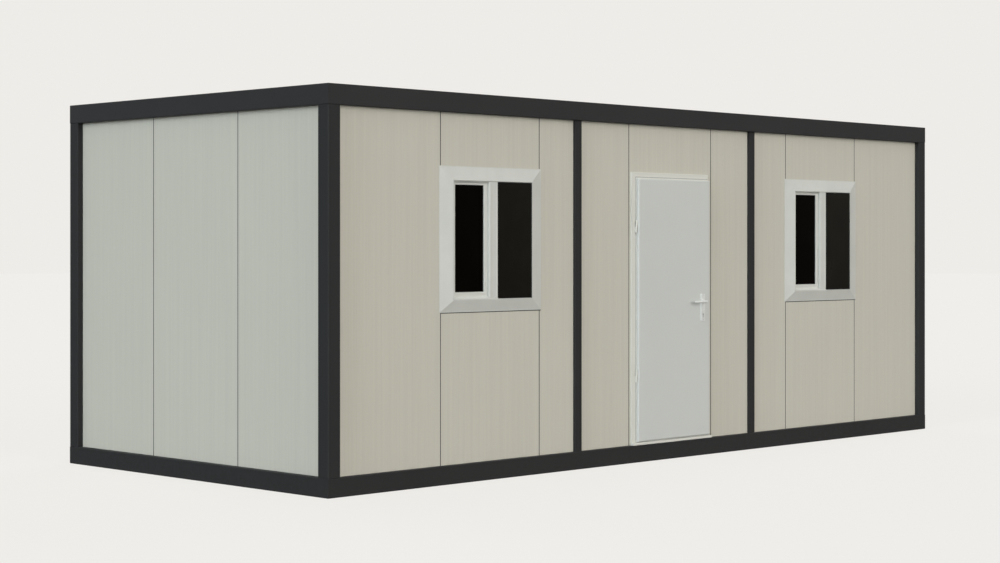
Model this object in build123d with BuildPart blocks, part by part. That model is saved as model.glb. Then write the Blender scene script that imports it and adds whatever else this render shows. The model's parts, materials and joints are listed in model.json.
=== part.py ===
from build123d import *
import os

# Portable site cabin. Millimetres, +Z up, the long way along X.
# The origin is on the ground, at the middle of the cabin. The door wall faces -Y.

os.makedirs("parts", exist_ok=True)

# ---------------------------------------------------------------- driving dimensions

LENGTH = 7000.0                 # over the steel frame
WIDTH = 3000.0
HEIGHT = 2700.0

SHEET = 3.0                     # folded steel of the frame
BEND = 6.0                      # outer bend radius
POST = 105.0                    # corner post, each face
BASE_HEIGHT = 130.0
BASE_FOOT_FLANGE = 80.0
BASE_LIP = 15.0
ROOF_HEIGHT = 138.0
ROOF_FOOT_FLANGE = 130.0
ROOF_TOP_FLANGE = 60.0
ROOF_LIP = 20.0

REVEAL = 40.0                   # long walls: wall face behind the frame's face
END_REVEAL = 47.0               # end walls
PANEL = 50.0                    # sandwich panel
PITCH = 983.0                   # cover width of one panel
LONG_PANELS = 7
END_PANELS = 3
JOINT_GAP = 0.4                 # between neighbouring panels
SEAM = 3.0                      # half width of the shadow joint
SEAM_DEPTH = 8.0
TONGUE = 12.0
TONGUE_OUT = 12.0
TONGUE_SLACK = 0.2

MID_POST = 72.0
MID_POST_PROUD = 22.0           # of the wall face
MID_POST_SHEET = 2.5
MID_POST_BEND = 4.0
MID_POST_LEFT = -1077.5         # centre lines, from the middle of the wall
MID_POST_RIGHT = 997.0

WINDOW_LEFT_IN = 1              # index of the panel that each window is in
WINDOW_RIGHT_IN = 5
OPENING_W = 773.0               # clear opening of the surround
OPENING_H = 825.0
OPENING_FOOT = 1268.0
RIM_SIDE = 119.5                # widths of the surround's members
RIM_TOP = 101.0
RIM_FOOT = 87.0
RIM_LIP = 4.0                   # thickness at the outer edge
RIM_FLAT = 6.0                  # flat border outside the slope
RIM_LAND = 5.0                  # flat border around the opening
RIM_PROUD = 26.0                # thickness at the inner edge
RIM_ROUND = 3.0
MITRE_GAP = 0.3
MITRE_OVERRUN = 0.1             # of the rim, past each end of a mitre
CASING_RIM = 42.0               # window casing, past the opening on each side
CASING_EASE = 0.5
CASING_INSIDE = 10.0            # past the inner wall face
MULLION_LOW = -33.0             # from the window's centre line
MULLION_HIGH = 46.5
MULLION_PROUD = 20.0            # of the wall face
LEDGE = 10.0                    # behind the fixed pane's edges
LEDGE_BACK = 20.0
SASH_PROUD = 5.0
SASH_DEPTH = 30.0
SASH_HIGH = -15.0               # far edge, from the window's centre line
SASH_OUTER_STILE = 29.0
SASH_INNER_STILE = 62.0
SASH_SILL = 51.0
SASH_HEAD = 13.0
TRACK = 14.0                    # above the sash
TRACK_BACK = 10.0
SILL_NOSE = 3.0                 # sloped ledge in front of the sash
SILL_RISE = 11.0
SILL_PROUD = 24.0
PANE = 6.0
PANE_EDGE = 2.5                 # around the fixed pane
FIXED_PANE_PROUD = 23.0
SASH_PANE_BACK = 5.0
SEAT = 0.3                      # between pieces that only rest against each other

DOOR_IN = 3                     # index of the panel that the door is cut into
DOOR_FROM_SEAM = 82.5           # clear opening, from that panel's low seam
DOOR_CLEAR_W = 834.0
DOOR_CLEAR_TOP = 2142.0
JAMB_LOW = 31.0                 # widths of the jambs in the cut
JAMB_HIGH = 17.0
JAMB_COVER = 64.0               # the hinge jamb with its cover strip
DOOR_HEAD = 20.0
DOOR_HEAD_COVER = 56.0
DOOR_FRAME_ROUND = 4.0
DOOR_FLANGE_PROUD = 12.0
DOOR_LINING_IN = 5.0            # past the inner wall face
DOOR_STOP = 12.0
THRESHOLD = 18.0
THRESHOLD_PAST = 23.0           # past the frame
THRESHOLD_PROUD = 33.0
THRESHOLD_ROUND = 3.0

LEAF_LAP_LOW = 10.0             # the leaf's rebate past the clear opening
LEAF_LAP_HIGH = 13.0
LEAF_LAP_TOP = 11.0
LEAF_OVER_SILL = 6.0
LEAF_SLAB = 20.0                # the rebated face of the leaf
LEAF_BODY = 37.0                # the part inside the opening
LEAF_CLEAR = 5.0
LEAF_ROUND = 5.0

HINGE_SETBACK = 13.0            # pin behind the leaf's face
HINGE_HEIGHTS = (652.0, 1786.0)
KNUCKLE_R = 6.5
KNUCKLE_CLEAR = 5.5             # beside the leaf
KNUCKLE_H = 45.0
PIN_R = 4.0
PIN_FIT = 0.05
PIN_REACH = 38.0
KNUCKLE_GAP = 0.5
WEB = 6.0

PLATE_IN = 93.0                 # centre line, from the leaf's free edge
PLATE_W = 46.0
PLATE_H = 212.0
PLATE_T = 8.0
PLATE_ROUND = 9.2
PLATE_MID = 1158.0
LEVER_AT_Z = 1204.0
SPINDLE_R = 6.0
SPINDLE_FIT = 0.05
LEVER_HUB_R = 10.0
LEVER_REACH = 42.0              # past the plate
LEVER_LENGTH = 145.0
LEVER_H = 20.0
LEVER_T = 13.0
LEVER_ROUND = 9.0
KEY_AT_Z = 1104.0
KEY_R = 8.5
KEY_TAIL = 33.0
KEY_TAIL_W = 10.0
KEY_PROUD = 1.0                 # of the lock plate

JOIST_W = 50.0
JOIST_SHEET = 2.0
JOIST_PITCH = 520.0
BOARD = 18.0
COVERING = 2.0

ROOF_PANEL = 50.0
ROOF_RIB = 35.0
ROOF_RIB_FOOT = 60.0
ROOF_RIB_TOP = 26.0
ROOF_RIBS = 4

# ---------------------------------------------------------------- derived

HALF_L = LENGTH / 2
HALF_W = WIDTH / 2
EAVES = HEIGHT - ROOF_HEIGHT    # underside of the roof rails
WALL_HEIGHT = EAVES - BASE_HEIGHT
BASE_TOP_FLANGE = POST
UP = (0, 0, 1)

# Each side of the frame has its own plane: x along the side, y inwards, from the frame's face.
FRONT = Plane(origin=(0, -HALF_W, 0), x_dir=(1, 0, 0), z_dir=UP)
BACK = Plane(origin=(0, HALF_W, 0), x_dir=(-1, 0, 0), z_dir=UP)
LEFT = Plane(origin=(-HALF_L, 0, 0), x_dir=(0, -1, 0), z_dir=UP)
RIGHT = Plane(origin=(HALF_L, 0, 0), x_dir=(0, 1, 0), z_dir=UP)


def wall_of(side, reveal):
    """The wall's own plane: as its side's, with the depths starting at the wall's face."""
    return Plane(origin=side.origin + side.y_dir * reveal, x_dir=side.x_dir, z_dir=UP)


FRONT_WALL = wall_of(FRONT, REVEAL)
BACK_WALL = wall_of(BACK, REVEAL)
LEFT_WALL = wall_of(LEFT, END_REVEAL)
RIGHT_WALL = wall_of(RIGHT, END_REVEAL)


# ---------------------------------------------------------------- steel frame

def folded_rail(side, half, outline, thicken):
    """A folded rail: the outer line of its section, thickened inwards and mitred at both ends."""
    section = Plane(origin=side.origin, x_dir=side.y_dir, z_dir=side.x_dir)
    with BuildPart() as rail:
        with BuildSketch(section):
            with BuildLine():
                FilletPolyline(*outline, radius=BEND)
                offset(amount=SHEET, side=thicken)
            make_face()
        extrude(amount=half, both=True)
        for way in (1, -1):
            corner = side.origin + side.x_dir * (half * way)
            mitre = Plane(origin=corner, z_dir=side.x_dir * -way - side.y_dir)
            split(bisect_by=mitre, keep=Keep.TOP)
    return rail


BASE_OUTLINE = [
    (BASE_FOOT_FLANGE, 0),
    (0, 0),
    (0, BASE_HEIGHT),
    (BASE_TOP_FLANGE, BASE_HEIGHT),
    (BASE_TOP_FLANGE, BASE_HEIGHT - BASE_LIP),
]

ROOF_OUTLINE = [
    (ROOF_FOOT_FLANGE, EAVES),
    (0, EAVES),
    (0, HEIGHT),
    (ROOF_TOP_FLANGE, HEIGHT),
    (ROOF_TOP_FLANGE, HEIGHT - ROOF_LIP),
]


def corner_post(x_way, y_way):
    """A square hollow post that stands between the base rails and the roof rails."""
    inset = POST / 2
    inner = POST - 2 * SHEET
    with BuildPart() as post:
        with BuildSketch(Plane.XY.offset(BASE_HEIGHT)):
            with Locations((x_way * (HALF_L - inset), y_way * (HALF_W - inset))):
                RectangleRounded(POST, POST, BEND)
                RectangleRounded(inner, inner, BEND - SHEET, mode=Mode.SUBTRACT)
        extrude(amount=WALL_HEIGHT)
    return post


def mid_post(wall, middle):
    """A folded channel that stands against the wall's face."""
    half = MID_POST / 2
    with BuildPart() as post:
        with BuildSketch(wall.offset(BASE_HEIGHT)):
            with BuildLine():
                FilletPolyline(
                    (middle + half, 0),
                    (middle + half, -MID_POST_PROUD),
                    (middle - half, -MID_POST_PROUD),
                    (middle - half, 0),
                    radius=MID_POST_BEND,
                )
                offset(amount=MID_POST_SHEET, side=Side.RIGHT)
            make_face()
        extrude(amount=WALL_HEIGHT)
    return post


base_rail_front = folded_rail(FRONT, HALF_L, BASE_OUTLINE, Side.RIGHT)
base_rail_back = folded_rail(BACK, HALF_L, BASE_OUTLINE, Side.RIGHT)
base_rail_left = folded_rail(LEFT, HALF_W, BASE_OUTLINE, Side.RIGHT)
base_rail_right = folded_rail(RIGHT, HALF_W, BASE_OUTLINE, Side.RIGHT)

roof_rail_front = folded_rail(FRONT, HALF_L, ROOF_OUTLINE, Side.LEFT)
roof_rail_back = folded_rail(BACK, HALF_L, ROOF_OUTLINE, Side.LEFT)
roof_rail_left = folded_rail(LEFT, HALF_W, ROOF_OUTLINE, Side.LEFT)
roof_rail_right = folded_rail(RIGHT, HALF_W, ROOF_OUTLINE, Side.LEFT)

corner_post_front_left = corner_post(-1, -1)
corner_post_front_right = corner_post(1, -1)
corner_post_back_left = corner_post(-1, 1)
corner_post_back_right = corner_post(1, 1)

mid_post_front_left = mid_post(FRONT_WALL, MID_POST_LEFT)
mid_post_front_right = mid_post(FRONT_WALL, MID_POST_RIGHT)
mid_posts_behind = [mid_post(BACK_WALL, -middle) for middle in (MID_POST_LEFT, MID_POST_RIGHT)]

with BuildPart() as mid_posts_back:
    for post in mid_posts_behind:
        add(post.part)

# ---------------------------------------------------------------- wall panels

OPENING_MID = OPENING_FOOT + OPENING_H / 2
CASING_W = OPENING_W + 2 * CASING_RIM
CASING_H = OPENING_H + 2 * CASING_RIM


def wall_panel(wall, low, high, foot, head, groove, tongue, window=None):
    """One sandwich panel between two points along a wall, with its joints."""
    with BuildPart() as panel:
        with BuildSketch(wall.offset(foot)):
            with Locations(((low + high) / 2, PANEL / 2)):
                Rectangle(high - low, PANEL)
            if tongue:
                with Locations((high, PANEL / 2)):
                    Rectangle(TONGUE_OUT, TONGUE, align=(Align.MIN, Align.CENTER))
                with Locations((high, 0)):
                    Rectangle(SEAM, SEAM_DEPTH, align=(Align.MAX, Align.MIN), mode=Mode.SUBTRACT)
            if groove:
                slot = (TONGUE_OUT + JOINT_GAP, TONGUE + 2 * TONGUE_SLACK)
                with Locations((low, PANEL / 2)):
                    Rectangle(*slot, align=(Align.MIN, Align.CENTER), mode=Mode.SUBTRACT)
                with Locations((low, 0)):
                    Rectangle(SEAM, SEAM_DEPTH, align=(Align.MIN, Align.MIN), mode=Mode.SUBTRACT)
        extrude(amount=head - foot)
        if window is not None:
            with BuildSketch(wall.offset(OPENING_MID - CASING_H / 2)):
                with Locations((window, PANEL / 2)):
                    Rectangle(CASING_W, PANEL)
            extrude(amount=CASING_H, mode=Mode.SUBTRACT)
    return panel


def seams_of(half, count):
    """Where the panels meet along a wall with that many panels, and its two ends."""
    inner = [(i - (count - 2) / 2) * PITCH for i in range(count - 1)]
    return [-(half - POST)] + inner + [half - POST]


def panel_of(wall, half, count, index, window=None):
    """The panel with that index, from the wall's low end in its own plane."""
    lines = seams_of(half, count)
    first = index == 0
    last = index == count - 1
    low = lines[index] + (0 if first else JOINT_GAP / 2)
    high = lines[index + 1] - (0 if last else JOINT_GAP / 2)
    return wall_panel(wall, low, high, BASE_HEIGHT, EAVES, not first, not last, window)


LONG_SEAMS = seams_of(HALF_L, LONG_PANELS)
WINDOW_LEFT = (LONG_SEAMS[WINDOW_LEFT_IN] + LONG_SEAMS[WINDOW_LEFT_IN + 1]) / 2
WINDOW_RIGHT = (LONG_SEAMS[WINDOW_RIGHT_IN] + LONG_SEAMS[WINDOW_RIGHT_IN + 1]) / 2

DOOR_CLEAR_LOW = LONG_SEAMS[DOOR_IN] + DOOR_FROM_SEAM
DOOR_CLEAR_HIGH = DOOR_CLEAR_LOW + DOOR_CLEAR_W
DOOR_CUT_LOW = DOOR_CLEAR_LOW - JAMB_LOW
DOOR_CUT_HIGH = DOOR_CLEAR_HIGH + JAMB_HIGH
DOOR_CUT_TOP = DOOR_CLEAR_TOP + DOOR_HEAD
DOOR_PANEL_LOW = LONG_SEAMS[DOOR_IN] + JOINT_GAP / 2
DOOR_PANEL_HIGH = LONG_SEAMS[DOOR_IN + 1] - JOINT_GAP / 2

front_panel_1 = panel_of(FRONT_WALL, HALF_L, LONG_PANELS, 0)
front_panel_2 = panel_of(FRONT_WALL, HALF_L, LONG_PANELS, WINDOW_LEFT_IN, WINDOW_LEFT)
front_panel_3 = panel_of(FRONT_WALL, HALF_L, LONG_PANELS, 2)
front_panel_5 = panel_of(FRONT_WALL, HALF_L, LONG_PANELS, 4)
front_panel_6 = panel_of(FRONT_WALL, HALF_L, LONG_PANELS, WINDOW_RIGHT_IN, WINDOW_RIGHT)
front_panel_7 = panel_of(FRONT_WALL, HALF_L, LONG_PANELS, 6)

LOW_STRIP = (DOOR_PANEL_LOW, DOOR_CUT_LOW, BASE_HEIGHT, DOOR_CUT_TOP)
HIGH_STRIP = (DOOR_CUT_HIGH, DOOR_PANEL_HIGH, BASE_HEIGHT, DOOR_CUT_TOP)
HEADER = (DOOR_PANEL_LOW, DOOR_PANEL_HIGH, DOOR_CUT_TOP, EAVES)

front_door_header = wall_panel(FRONT_WALL, *HEADER, groove=True, tongue=True)
low_strip = wall_panel(FRONT_WALL, *LOW_STRIP, groove=True, tongue=False)
high_strip = wall_panel(FRONT_WALL, *HIGH_STRIP, groove=False, tongue=True)

with BuildPart() as front_door_side_strips:
    add(low_strip.part)
    add(high_strip.part)

left_panel_back = panel_of(LEFT_WALL, HALF_W, END_PANELS, 0)
left_panel_middle = panel_of(LEFT_WALL, HALF_W, END_PANELS, 1)
left_panel_front = panel_of(LEFT_WALL, HALF_W, END_PANELS, 2)

right_row = [panel_of(RIGHT_WALL, HALF_W, END_PANELS, number) for number in range(END_PANELS)]
back_row = [panel_of(BACK_WALL, HALF_L, LONG_PANELS, number) for number in range(LONG_PANELS)]

with BuildPart() as right_panels:
    for panel in right_row:
        add(panel.part)

with BuildPart() as back_panels:
    for panel in back_row:
        add(panel.part)

# ---------------------------------------------------------------- windows

WALL_FACE = Plane(origin=(0, -HALF_W + REVEAL, 0), x_dir=(1, 0, 0), z_dir=(0, -1, 0))
OPENING_HEAD = OPENING_FOOT + OPENING_H


def block(low, high, foot, head):
    """A rectangle on the wall's face, from its two sides, its foot and its head."""
    with Locations(((low + high) / 2, (foot + head) / 2)):
        Rectangle(high - low, head - foot)


def surround(middle):
    """The bevelled picture-frame trim that covers the cut in the wall, in four mitred members."""
    low = middle - OPENING_W / 2
    high = middle + OPENING_W / 2
    inset = RIM_FLAT
    with BuildPart() as trim:
        with BuildSketch(WALL_FACE):
            block(low - RIM_SIDE, high + RIM_SIDE, OPENING_FOOT - RIM_FOOT, OPENING_HEAD + RIM_TOP)
        extrude(amount=RIM_LIP)
        with BuildSketch(WALL_FACE.offset(RIM_LIP)):
            block(
                low - RIM_SIDE + inset,
                high + RIM_SIDE - inset,
                OPENING_FOOT - RIM_FOOT + inset,
                OPENING_HEAD + RIM_TOP - inset,
            )
        with BuildSketch(WALL_FACE.offset(RIM_PROUD)):
            block(low - RIM_LAND, high + RIM_LAND, OPENING_FOOT - RIM_LAND, OPENING_HEAD + RIM_LAND)
        loft()
        with BuildSketch(WALL_FACE):
            block(low, high, OPENING_FOOT, OPENING_HEAD)
        extrude(amount=RIM_PROUD, mode=Mode.SUBTRACT)
        land = trim.faces().sort_by(Axis.Y)[0]
        fillet(land.inner_wires()[0].edges(), RIM_ROUND)
        for side, x_way in ((low, -1), (high, 1)):
            for level, rim, z_way in ((OPENING_FOOT, RIM_FOOT, -1), (OPENING_HEAD, RIM_TOP, 1)):
                corner = Vector(side, level)
                reach = Vector(x_way * RIM_SIDE, z_way * rim)
                inner = corner - reach * MITRE_OVERRUN
                outer = corner + reach * (1 + MITRE_OVERRUN)
                gap = Vector(MITRE_GAP / 2, 0)
                with BuildSketch(WALL_FACE):
                    with BuildLine():
                        Polyline(inner - gap, outer - gap, outer + gap, inner + gap, close=True)
                    make_face()
                extrude(amount=RIM_PROUD, mode=Mode.SUBTRACT)
    return trim


def casing(middle):
    """The fixed casing that lines the cut, with its mullion, sill, sash track and glazing ledge."""
    low = middle - OPENING_W / 2
    high = middle + OPENING_W / 2
    post_low = middle + SASH_HIGH + SEAT
    post_high = middle + MULLION_HIGH
    cut_foot = OPENING_FOOT - CASING_EASE
    cut_head = OPENING_HEAD + CASING_EASE
    light = (high - post_high - 2 * LEDGE, OPENING_H - 2 * LEDGE)
    with BuildPart() as lining:
        # ring
        with BuildSketch(WALL_FACE):
            with Locations((middle, OPENING_MID)):
                Rectangle(CASING_W, CASING_H)
                Rectangle(OPENING_W + 2 * CASING_EASE, OPENING_H + 2 * CASING_EASE, mode=Mode.SUBTRACT)
        extrude(amount=-(PANEL + CASING_INSIDE))
        # track over the sash
        with BuildSketch(WALL_FACE.offset(-TRACK_BACK)):
            block(low - CASING_EASE, high + CASING_EASE, OPENING_HEAD - TRACK + SEAT, cut_head)
        extrude(amount=-(PANEL + CASING_INSIDE - TRACK_BACK))
        # ledge behind the fixed pane, and the post that the sash closes against
        with BuildSketch(WALL_FACE.offset(FIXED_PANE_PROUD - PANE)):
            block(post_low, high - SEAT, OPENING_FOOT + SEAT, OPENING_HEAD - SEAT)
            with Locations(((post_high + high) / 2, OPENING_MID)):
                Rectangle(*light, mode=Mode.SUBTRACT)
        extrude(amount=-(FIXED_PANE_PROUD - PANE))
        with BuildSketch(WALL_FACE):
            block(post_low, high + CASING_EASE, cut_foot, cut_head)
            with Locations(((post_high + high) / 2, OPENING_MID)):
                Rectangle(*light, mode=Mode.SUBTRACT)
        extrude(amount=-LEDGE_BACK)
        # mullion
        with BuildSketch(WALL_FACE.offset(SASH_PROUD + SEAT)):
            block(middle + MULLION_LOW, post_high, OPENING_FOOT + SEAT, OPENING_HEAD - SEAT)
        extrude(amount=MULLION_PROUD - SASH_PROUD - SEAT)
        # sloped sill in front of the sash
        sill_end = (low + SEAT, -HALF_W + REVEAL, OPENING_FOOT + SEAT)
        with BuildSketch(Plane(origin=sill_end, x_dir=(0, -1, 0), z_dir=(-1, 0, 0))):
            with BuildLine():
                Polyline(
                    (SASH_PROUD + SEAT, 0),
                    (SILL_PROUD, 0),
                    (SILL_PROUD, SILL_NOSE),
                    (SASH_PROUD + SEAT, SILL_RISE),
                    close=True,
                )
            make_face()
        extrude(amount=-(post_high - low - SEAT))
    return lining


def sash_glass(middle):
    """Sides, foot and head of the glass in the sash."""
    return (
        middle - OPENING_W / 2 + SASH_OUTER_STILE,
        middle + SASH_HIGH - SASH_INNER_STILE,
        OPENING_FOOT + SASH_SILL,
        OPENING_HEAD - TRACK - SASH_HEAD,
    )


def sash(middle):
    """The sliding sash on the left, behind the mullion."""
    with BuildPart() as slider:
        with BuildSketch(WALL_FACE.offset(SASH_PROUD)):
            block(
                middle - OPENING_W / 2 + SEAT,
                middle + SASH_HIGH,
                OPENING_FOOT + SEAT,
                OPENING_HEAD - TRACK,
            )
            low, high, foot, head = sash_glass(middle)
            with Locations(((low + high) / 2, (foot + head) / 2)):
                Rectangle(high - low, head - foot, mode=Mode.SUBTRACT)
        extrude(amount=-SASH_DEPTH)
    return slider


def sash_pane(middle):
    """The pane in the sash."""
    with BuildPart() as glass:
        with BuildSketch(WALL_FACE.offset(-SASH_PANE_BACK)):
            block(*sash_glass(middle))
        extrude(amount=-PANE)
    return glass


def fixed_pane(middle):
    """The pane right of the mullion, nearly flush with the surround."""
    with BuildPart() as glass:
        with BuildSketch(WALL_FACE.offset(FIXED_PANE_PROUD)):
            block(
                middle + MULLION_HIGH,
                middle + OPENING_W / 2 - PANE_EDGE,
                OPENING_FOOT + PANE_EDGE,
                OPENING_HEAD - PANE_EDGE,
            )
        extrude(amount=-PANE)
    return glass


window_left_surround = surround(WINDOW_LEFT)
window_left_casing = casing(WINDOW_LEFT)
window_left_sash = sash(WINDOW_LEFT)
window_left_sash_pane = sash_pane(WINDOW_LEFT)
window_left_fixed_pane = fixed_pane(WINDOW_LEFT)

window_right_surround = surround(WINDOW_RIGHT)
window_right_casing = casing(WINDOW_RIGHT)
window_right_sash = sash(WINDOW_RIGHT)
window_right_sash_pane = sash_pane(WINDOW_RIGHT)
window_right_fixed_pane = fixed_pane(WINDOW_RIGHT)

# ---------------------------------------------------------------- doorway
# Depths at the door are from the wall's face, so the leaf's face has a negative depth.

DOOR_FRAME_LOW = DOOR_CLEAR_LOW - JAMB_COVER
DOOR_FRAME_HIGH = DOOR_CUT_HIGH
DOOR_FRAME_TOP = DOOR_CLEAR_TOP + DOOR_HEAD_COVER
FLANGE_FRONT = -DOOR_FLANGE_PROUD
LINING_BACK = PANEL + DOOR_LINING_IN
THRESHOLD_TOP = BASE_HEIGHT + THRESHOLD

SLAB_BACK = FLANGE_FRONT - LEAF_CLEAR
LEAF_FRONT = SLAB_BACK - LEAF_SLAB
BODY_BACK = SLAB_BACK + LEAF_BODY
STOP_FRONT = BODY_BACK + LEAF_CLEAR


def rect(low, high, front, back):
    """A rectangle in a wall's own plan, between two points along it and two depths."""
    with Locations(((low + high) / 2, (front + back) / 2)):
        Rectangle(high - low, back - front)


with BuildPart() as door_frame:
    # jambs
    with BuildSketch(FRONT_WALL.offset(THRESHOLD_TOP)):
        rect(DOOR_FRAME_LOW, DOOR_CLEAR_LOW, FLANGE_FRONT, 0)
        rect(DOOR_CUT_LOW, DOOR_CLEAR_LOW, FLANGE_FRONT, LINING_BACK)
        rect(DOOR_CUT_LOW, DOOR_CLEAR_LOW + DOOR_STOP, STOP_FRONT, LINING_BACK)
        rect(DOOR_CLEAR_HIGH, DOOR_FRAME_HIGH, FLANGE_FRONT, LINING_BACK)
        rect(DOOR_CLEAR_HIGH - DOOR_STOP, DOOR_CLEAR_HIGH, STOP_FRONT, LINING_BACK)
    extrude(amount=DOOR_CLEAR_TOP - SEAT - THRESHOLD_TOP)
    # head
    with BuildSketch(FRONT_WALL.offset(DOOR_CLEAR_TOP)):
        rect(DOOR_CUT_LOW, DOOR_FRAME_HIGH, FLANGE_FRONT, LINING_BACK)
        rect(DOOR_FRAME_LOW, DOOR_FRAME_HIGH, FLANGE_FRONT, 0)
    extrude(amount=DOOR_CUT_TOP - DOOR_CLEAR_TOP)
    with BuildSketch(FRONT_WALL.offset(DOOR_CUT_TOP)):
        rect(DOOR_FRAME_LOW, DOOR_FRAME_HIGH, FLANGE_FRONT, 0)
    extrude(amount=DOOR_FRAME_TOP - DOOR_CUT_TOP)
    stop_low = DOOR_CLEAR_LOW + DOOR_STOP + SEAT
    stop_high = DOOR_CLEAR_HIGH - DOOR_STOP - SEAT
    with BuildSketch(FRONT_WALL.offset(DOOR_CLEAR_TOP)):
        rect(stop_low, stop_high, STOP_FRONT, LINING_BACK)
    extrude(amount=-DOOR_STOP)
    # rounded outer edges of the face
    face_edges = door_frame.faces().group_by(Axis.Y)[0].edges()
    sides = face_edges.group_by(Axis.X)
    fillet(sides[0] + sides[-1] + face_edges.group_by(Axis.Z)[-1], DOOR_FRAME_ROUND)

with BuildPart() as door_threshold:
    with BuildSketch(FRONT_WALL.offset(BASE_HEIGHT)):
        rect(DOOR_FRAME_LOW, DOOR_FRAME_HIGH + THRESHOLD_PAST, -THRESHOLD_PROUD, 0)
        rect(DOOR_CUT_LOW, DOOR_CUT_HIGH, -THRESHOLD_PROUD, LINING_BACK)
    extrude(amount=THRESHOLD)
    nosing = door_threshold.faces().sort_by(Axis.Y)[0].edges().sort_by(Axis.Z)[-1]
    fillet(nosing, THRESHOLD_ROUND)

# ---------------------------------------------------------------- door leaf

LEAF_LOW = DOOR_CLEAR_LOW - LEAF_LAP_LOW
LEAF_HIGH = DOOR_CLEAR_HIGH + LEAF_LAP_HIGH
LEAF_TOP = DOOR_CLEAR_TOP + LEAF_LAP_TOP
LEAF_FOOT = THRESHOLD_TOP + LEAF_OVER_SILL
LEAF_FACE = WALL_FACE.offset(-LEAF_FRONT)
SPINDLE_SPOT = (LEAF_HIGH - PLATE_IN, LEVER_AT_Z)
KEY_SPOT = (LEAF_HIGH - PLATE_IN, KEY_AT_Z)


def cylinder_outline():
    """The key cylinder's outline: a round plug with a tail below it."""
    with BuildSketch() as outline:
        Circle(KEY_R)
        Rectangle(KEY_TAIL_W, KEY_TAIL - KEY_R, align=(Align.CENTER, Align.MAX))
    return outline.sketch


CYLINDER = cylinder_outline()

with BuildPart() as door_leaf:
    with BuildSketch(FRONT_WALL.offset(LEAF_FOOT)):
        rect(LEAF_LOW, LEAF_HIGH, LEAF_FRONT, SLAB_BACK)
    extrude(amount=LEAF_TOP - LEAF_FOOT)
    front_face = door_leaf.faces().sort_by(Axis.Y)[0]
    fillet(front_face.edges(), LEAF_ROUND)
    with BuildSketch(FRONT_WALL.offset(LEAF_FOOT)):
        rect(DOOR_CLEAR_LOW + LEAF_CLEAR, DOOR_CLEAR_HIGH - LEAF_CLEAR, SLAB_BACK, BODY_BACK)
    extrude(amount=DOOR_CLEAR_TOP - LEAF_CLEAR - LEAF_FOOT)
    # holes for the spindle and the lock cylinder
    with BuildSketch(LEAF_FACE):
        with Locations(SPINDLE_SPOT):
            Circle(SPINDLE_R + SPINDLE_FIT)
        with Locations(KEY_SPOT):
            add(CYLINDER)
    extrude(amount=-(LEAF_SLAB + LEAF_BODY), mode=Mode.SUBTRACT)

# ---------------------------------------------------------------- hinges

PIN_X = LEAF_LOW - KNUCKLE_CLEAR - KNUCKLE_R
PIN_DEPTH = LEAF_FRONT + HINGE_SETBACK
KNUCKLE = KNUCKLE_H - KNUCKLE_GAP / 2

with BuildPart() as door_frame_hinges:
    for height in HINGE_HEIGHTS:
        with BuildSketch(FRONT_WALL.offset(height - KNUCKLE_H)):
            with Locations((PIN_X, PIN_DEPTH)):
                Circle(KNUCKLE_R)
            rect(PIN_X - WEB / 2, PIN_X + WEB / 2, PIN_DEPTH, FLANGE_FRONT)
        extrude(amount=KNUCKLE)
        with BuildSketch(FRONT_WALL.offset(height - KNUCKLE_H)):
            with Locations((PIN_X, PIN_DEPTH)):
                Circle(PIN_R)
        extrude(amount=KNUCKLE_H + PIN_REACH)

with BuildPart() as door_leaf_hinges:
    for height in HINGE_HEIGHTS:
        with BuildSketch(FRONT_WALL.offset(height + KNUCKLE_GAP / 2)):
            with Locations((PIN_X, PIN_DEPTH)):
                Circle(KNUCKLE_R)
            rect(PIN_X, LEAF_LOW, PIN_DEPTH - WEB / 2, PIN_DEPTH + WEB / 2)
        extrude(amount=KNUCKLE)
        with BuildSketch(FRONT_WALL.offset(height + KNUCKLE_GAP / 2)):
            with Locations((PIN_X, PIN_DEPTH)):
                Circle(PIN_R + PIN_FIT)
        extrude(amount=PIN_REACH + KNUCKLE_GAP, mode=Mode.SUBTRACT)

# ---------------------------------------------------------------- lock and handle

INNER_LEAF_FACE = LEAF_FACE.offset(-(LEAF_SLAB + LEAF_BODY))


def lock_plate(face, thickness):
    """A long plate with rounded ends, bored for the spindle and cut for the cylinder."""
    with BuildPart() as plate:
        with BuildSketch(face):
            with Locations((LEAF_HIGH - PLATE_IN, PLATE_MID)):
                RectangleRounded(PLATE_W, PLATE_H, PLATE_ROUND)
            with Locations(SPINDLE_SPOT):
                Circle(SPINDLE_R + SPINDLE_FIT, mode=Mode.SUBTRACT)
            with Locations(KEY_SPOT):
                add(CYLINDER, mode=Mode.SUBTRACT)
        extrude(amount=thickness)
    return plate


outer_plate = lock_plate(LEAF_FACE, PLATE_T)
inner_plate = lock_plate(INNER_LEAF_FACE, -PLATE_T)

with BuildPart() as door_lock_plates:
    add(outer_plate.part)
    add(inner_plate.part)

with BuildPart() as door_lock_cylinder:
    with BuildSketch(LEAF_FACE.offset(PLATE_T + KEY_PROUD)):
        with Locations(KEY_SPOT):
            add(CYLINDER)
    extrude(amount=-(LEAF_SLAB + LEAF_BODY + 2 * (PLATE_T + KEY_PROUD)))

HUB_START = PLATE_T + KNUCKLE_GAP
INNER_HUB_START = -(LEAF_SLAB + LEAF_BODY) - HUB_START


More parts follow.
